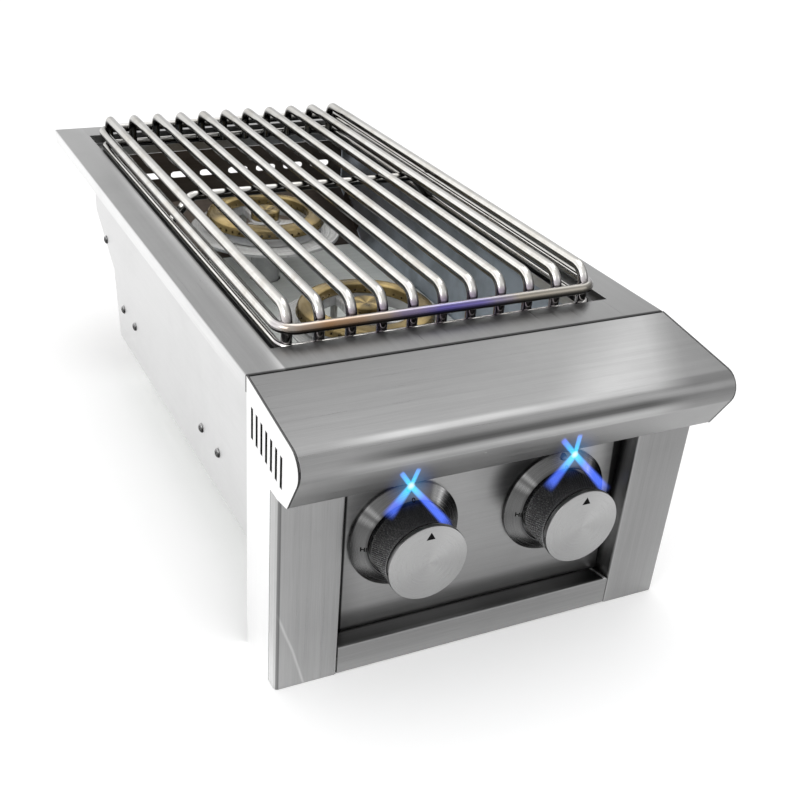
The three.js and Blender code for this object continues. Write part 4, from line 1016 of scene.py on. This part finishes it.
# painted sheen round the turned faces, as (degrees from the right, level)
flatFan = ((-180.0, 1.0), (180.0, 1.0))
brassSheen = ((-180.0, 0.32), (-163.0, 1.0), (-150.0, 1.0), (-130.0, 0.35), (-100.0, 0.22), (-75.0, 0.5), (-62.0, 0.95),
            (-40.0, 0.42), (0.0, 0.28), (25.0, 0.55), (38.0, 1.0), (60.0, 0.55), (95.0, 0.26), (118.0, 0.7),
            (128.0, 1.0), (150.0, 0.5), (180.0, 0.32))
plateSheen = ((-180.0, 0.9), (-130.0, 1.0), (-80.0, 0.85), (-30.0, 1.0), (20.0, 0.7), (70.0, 0.95), (120.0, 0.7),
            (180.0, 0.9))


def cutPorts(piece, name, y, level, rows):
    bm = bmesh.new()
    for count, radius, height, size, length, lean in rows:
        for i in range(count):
            angle = 2 * math.pi * (i + 0.5) / count
            spot = Vector((radius * math.cos(angle), y + radius * math.sin(angle), level + height)) * mm
            face = Matrix.Rotation(angle, 4, "Z") @ Matrix.Rotation(math.radians(90 - lean), 4, "Y")
            bmesh.ops.create_cone(bm, cap_ends=True, segments=10, radius1=size * mm, radius2=size * mm,
                                  depth=length * mm, matrix=Matrix.Translation(spot) @ face)
    cutWith(piece, bm, name)
    shadeByAngle(piece.data, 40)


def buildBurner(name, y):
    b, centre, middle = burnerSizes, (0, y, 0), (0, y * mm, 0)
    # the brass gets painted sheen and painted light by facing, with its drilled ports painted dark as shade; the cast
    # and plate get painted light by facing
    brass = turnedMetal(name + "Brass", rgb(1.0, 0.74, 0.31), middle, "z", (0.12, 0.26), 0.2, brassSheen, spots=0.45,
                        metallic=0.5, levels=(0.3, 0.7, 0.5, 0.5, 1.0, 0.15),
                        shadedBores=(0.0445, 0.0552, (b["ringLevel"] + 4.2) * mm))
    cast = turnedMetal(name + "Cast", rgb(0.95, 0.95, 0.95), middle, "z", (0.14, 0.32), 0.12, flatFan, spots=0.25,
                       levels=(0.3, 0.9, 0.8, 0.7, 1.0, 0.2), metallic=0.35)
    plateSteel = turnedMetal(name + "Plate", rgb(0.95, 0.95, 0.93), middle, "z", (0.2, 0.34), 0.1, plateSheen,
                             spots=0.2, levels=(0.5, 0.9, 0.8, 0.8, 1.0, 0.3), metallic=0.2)

    low, arm = b["baseLevel"], b["arm"]
    top = low + arm["height"]
    bm = spunProfile(bmesh.new(), b["seat"], centre, "z", 96, level=low)
    spunProfile(bm, b["hub"], centre, "z", 48, closed=False, level=low)
    size = Matrix.Diagonal((arm["length"] * mm, 2 * arm["half"] * mm, arm["height"] * mm, 1))
    for k in range(arm["count"]):
        angle = math.radians(90 + 360 / arm["count"] * k)
        out = arm["middle"]
        spot = Vector((math.cos(angle) * out, y + math.sin(angle) * out, (low + top) / 2)) * mm
        turned = Matrix.Translation(spot) @ Matrix.Rotation(angle, 4, "Z") @ size
        made = bmesh.ops.create_cube(bm, size=1.0, matrix=turned)["verts"]
        long = [e for e in {e for v in made for e in v.link_edges}
                if all(v.co.z > (top - 0.1) * mm for v in e.verts) and e.calc_length() > 25 * mm]
        bevelEdges(bm, long, arm["bend"] * mm, 4)
    makePiece(name + "_base_casting", bm, "burner_box", cast, replaced=(name + "_burner_base",),
              smooth=40)

    bm = spunProfile(bmesh.new(), b["ring"], centre, "z", 98, level=b["ringLevel"])
    piece = makePiece(name + "_flame_ring", bm, name + "_ring", brass, replaced=(name + "_brass_ring",),
                      smooth=40)
    cutPorts(piece, "ringPorts", y, b["ringLevel"], b["ringPorts"])

    bm = spunProfile(bmesh.new(), b["cap"], centre, "z", 48, closed=False, level=b["capLevel"])
    piece = makePiece(name + "_flame_cap", bm, name + "_cap", brass, replaced=(name + "_brass_cap",),
                      smooth=40)
    cutPorts(piece, "capPorts", y, b["capLevel"], b["capPorts"])

    bm = spunProfile(bmesh.new(), b["plate"], centre, "z", 96, level=b["plateLevel"])
    for side in (-1, 1):
        geometry = list(bm.verts) + list(bm.edges) + list(bm.faces)
        bmesh.ops.bisect_plane(bm, geom=geometry, dist=1e-7, plane_co=(side * b["plateFlat"] * mm, 0, 0),
                               plane_no=(side, 0, 0), clear_outer=True)
        bmesh.ops.holes_fill(bm, edges=[e for e in bm.edges if e.is_boundary], sides=0)
    makePiece(name + "_spill_plate", bm, "burner_box", plateSteel,
              replaced=(name + "_drip_plate",))

    electrode = b["electrode"]
    behind = y + electrode["behind"]
    bm = spunProfile(bmesh.new(), electrode["body"], (0, behind, 0), "z", 24, closed=False)
    makePiece(name + "_electrode_body", bm, "burner_box", finish["ceramic"],
              replaced=(name + "_electrode",), smooth=40)
    bm = bmesh.new()
    sweptRod(bm, [(0, behind, level) for level in electrode["tip"]], 0, electrode["tipRadius"], 12)
    makePiece(name + "_electrode_tip", bm, "burner_box", finish["zinc"])


buildBurner("front", 168.0)
buildBurner("rear", 405.0)
print("burners made")

knob = {
    "depth": -108.8, "back": -44.3, "front": -74.3, "collar": 28.6, "radius": 29.3, "crest": 0.35, "around": 112,
    "rows": 13, "knurlFrom": -49.3, "knurlTo": -72.9, "neck": 28.2, "bore": 3.9, "boreEnd": -70.6,
    "capRadius": 30.1, "capBack": -74.6, "capFront": -78.6, "pointer": 3.95, "pointerUp": 21.6, "pointerThick": 0.6,
}
bezel = {"outer": 42.8, "hole": 31.0, "back": -39.6, "edge": -42.3, "front": -48.6, "lip": 1.0, "lampGap": 0.3}
# painted sheen round the bezel and the cap's face, as (degrees from the right, level)
bezelSheen = ((-180.0, 0.15), (-150.0, 0.27), (-120.0, 0.24), (-80.0, 0.12), (-30.0, 0.06), (15.0, 0.07), (35.0, 0.1),
            (44.0, 0.34), (50.0, 0.62), (56.0, 0.3), (66.0, 0.09), (92.0, 0.12), (118.0, 0.14), (132.0, 0.16),
            (137.0, 0.36), (142.0, 0.15), (147.0, 0.29), (155.0, 0.12), (180.0, 0.15))
faceSheen = ((-180.0, 0.42), (-130.0, 0.39), (-50.0, 0.43), (-10.0, 0.4), (45.0, 0.46), (100.0, 0.41), (180.0, 0.42))
# marks as (words, degrees from the right, distance from the axis)
dial = {"size": 4.7, "wide": 1.15, "thick": 0.12, "bold": 0.12,
        "marks": (("0", 88.0, 32.3), ("HI", 182.5, 34.3), ("LO", 300.0, 34.0))}


def buildMark(side, x, text, degrees, ring):
    # the words are made a mesh and laid on the bezel's cone
    curve = bpy.data.curves.new("dialText", "FONT")
    curve.body = text
    curve.size = dial["size"] * mm
    curve.extrude = dial["thick"] / 2 * mm
    curve.offset = dial["bold"] * mm
    curve.align_x = "CENTER"
    curve.align_y = "CENTER"
    curve.resolution_u = 4
    words = addObject("dialText", curve)
    bpy.context.view_layer.update()
    mesh = bpy.data.meshes.new_from_object(words.evaluated_get(bpy.context.evaluated_depsgraph_get()))
    bpy.data.objects.remove(words)
    bm = bmesh.new()
    bm.from_mesh(mesh)
    bpy.data.meshes.remove(mesh)
    inner = bezel["hole"] + bezel["lip"]
    rise, run = bezel["edge"] - bezel["front"], bezel["outer"] - inner
    out = Vector((math.cos(math.radians(degrees)), 0, math.sin(math.radians(degrees))))
    normal = (out * rise + Vector((0, -1, 0)) * run).normalized()
    spot = Vector((x, bezel["front"] + (ring - inner) / run * rise, knob["depth"])) + out * ring
    tilt = Vector((0, -1, 0)).rotation_difference(normal).to_matrix().to_4x4()
    upright = Matrix.Rotation(math.radians(90), 4, "X") @ Matrix.Diagonal((dial["wide"], 1, 1, 1))
    bmesh.ops.transform(bm, matrix=Matrix.Translation(spot * mm) @ tilt @ upright, verts=bm.verts)
    paint = finish["litMark" if side == "right" else "mark"]
    makePiece(f"{side}_mark_{text}", bm, "burner_box", paint, smooth=30)


def buildBezel(side, axis, steel):
    hole, rim, back, edge, front = [bezel[part] for part in ("hole", "outer", "back", "edge", "front")]
    profile = [(hole, back), (rim - 0.2, back), (rim, back - 0.3), (rim, edge + 0.5), (rim - 0.5, edge),
               (hole + 1.8, front + 0.5), (hole + 1.2, front), (hole + 0.4, front), (hole, front + 0.4)]
    bm = spunProfile(bmesh.new(), profile, axis, "y", 96)
    piece = makePiece(side + "_bezel_ring", bm, "burner_box", steel, replaced=(side + "_bezel",),
                      smooth=32)
    low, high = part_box(side + "_lamp")
    lampX, lampZ = (low.x + high.x) / 2 / mm, (low.z + high.z) / 2 / mm
    radius, tip = (high.z - low.z) / 2 / mm, low.y / mm
    size = (radius + bezel["lampGap"]) * mm
    turned = Matrix.Translation((lampX * mm, back * mm, lampZ * mm)) @ Matrix.Rotation(math.radians(90), 4, "X")
    bm = bmesh.new()
    bmesh.ops.create_cone(bm, cap_ends=True, segments=24, radius1=size, radius2=size, depth=20 * mm, matrix=turned)
    cutWith(piece, bm, "lampHole")
    shadeByAngle(piece.data, 32)
    angles = [math.radians(degrees) for degrees in range(0, 91, 15)]
    dome = [(radius * math.sin(a), tip + radius * (1 - math.cos(a))) for a in angles]
    dome += [(radius, high.y / mm), (0, high.y / mm)]
    bm = spunProfile(bmesh.new(), dome, (lampX, 0, lampZ), "y", 24, closed=False)
    makePiece(side + "_lamp_lens", bm, "burner_box", finish["lens"], replaced=(side + "_lamp",),
              smooth=40)


def buildKnob(side, x):
    k = knob
    axis = (x, 0, k["depth"])
    centre = (x * mm, 0, k["depth"] * mm)
    # the bezel gets a painted sheen and the knob's painted shadow round its hole; the cap's face gets a painted sheen
    bezelSteel = turnedMetal(side + "BezelSteel", rgb(0.95, 0.95, 0.95), centre, "y", (0.16, 0.3), 0.2, bezelSheen,
                             glow=True, core=(bezel["hole"] + 0.3) * mm)
    faceSteel = turnedMetal(side + "FaceSteel", rgb(0.9, 0.9, 0.9), centre, "y", (0.25, 0.36), 0.06, faceSheen)
    buildBezel(side, axis, bezelSteel)

    first, last, collar = k["knurlFrom"], k["knurlTo"], k["collar"]
    rows = [(k["radius"], first + (last - first) * i / k["rows"]) for i in range(k["rows"] + 1)]
    profile = [(k["bore"], k["boreEnd"]), (k["bore"], k["back"]), (collar - 0.4, k["back"]),
               (collar, k["back"] - 0.4), (collar, first), *rows, (k["neck"], last), (k["neck"], k["front"]),
               (0, k["front"])]
    bm = spunProfile(bmesh.new(), profile, axis, "y", k["around"], closed=False)

    def onGrip(face, slack):
        middle = face.calc_center_median()
        away = math.hypot(middle.x - centre[0], middle.z - centre[2]) - k["radius"] * mm
        return abs(away) < slack * mm and last * mm < middle.y < first * mm

    # the grip's squares are poked and joined to diamonds, and each of these gets a raised middle
    grip = [f for f in bm.faces if onGrip(f, 0.1)]
    inner = [e for e in {e for f in grip for e in f.edges} if set(grip).issuperset(e.link_faces)]
    bmesh.ops.poke(bm, faces=grip, offset=0.0)
    bmesh.ops.dissolve_edges(bm, edges=inner, use_verts=False)
    diamonds = [f for f in bm.faces if len(f.verts) == 4 and onGrip(f, 0.15)]
    bmesh.ops.recalc_face_normals(bm, faces=bm.faces)
    bmesh.ops.poke(bm, faces=diamonds, offset=k["crest"] * mm)
    makePiece(side + "_knob_grip", bm, side + "_knob", finish["knurl"],
              replaced=(side + "_knob_body",), smooth=24)

    back, face, r = k["capBack"], k["capFront"], k["capRadius"]
    profile = [(0, back), (r - 0.4, back), (r, back - 0.4), (r, face + 0.9), (r - 0.3, face + 0.3), (r - 0.9, face),
               (0, face)]
    bm = spunProfile(bmesh.new(), profile, axis, "y", k["around"], closed=False)
    makePiece(side + "_knob_plate", bm, side + "_knob", faceSteel, replaced=(side + "_knob_cap",),
              smooth=28)

    bm = bmesh.new()
    made = bmesh.ops.create_circle(bm, cap_ends=True, segments=3, radius=k["pointer"] * mm)["verts"]
    bmesh.ops.rotate(bm, verts=made, matrix=Matrix.Rotation(math.radians(90), 3, "X"))
    bmesh.ops.translate(bm, verts=made, vec=(x * mm, (face - 0.03) * mm, (k["depth"] + k["pointerUp"]) * mm))
    grown = bmesh.ops.extrude_face_region(bm, geom=list(bm.faces))["geom"]
    bmesh.ops.translate(bm, verts=vertsOf(grown), vec=(0, k["pointerThick"] * mm, 0))
    makePiece(side + "_pointer", bm, side + "_knob", finish["mark"], smooth=20)

    for text, degrees, ring in dial["marks"]:
        buildMark(side, x, text, degrees, ring)


buildKnob("left", -62.5)
buildKnob("right", 62.5)
print("knobs made")

# what stays from the frame gets its finish
kept = {
    "gas_manifold": "zinc", "gas_inlet_elbow": "brassBody", "spark_module": "plastic",
    "front_mixing_tube": "zinc", "rear_mixing_tube": "zinc",
}
sideKept = {"_valve_stem": "zinc", "_spring_seat": "zinc", "_valve_body": "brassBody", "_orifice": "brassBody"}
for side in ("left", "right"):
    kept.update({side + part: finishName for part, finishName in sideKept.items()})
for node, finishName in kept.items():
    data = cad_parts[node].data
    data.materials.clear()
    data.materials.append(finish[finishName])
print("kept pieces finished")
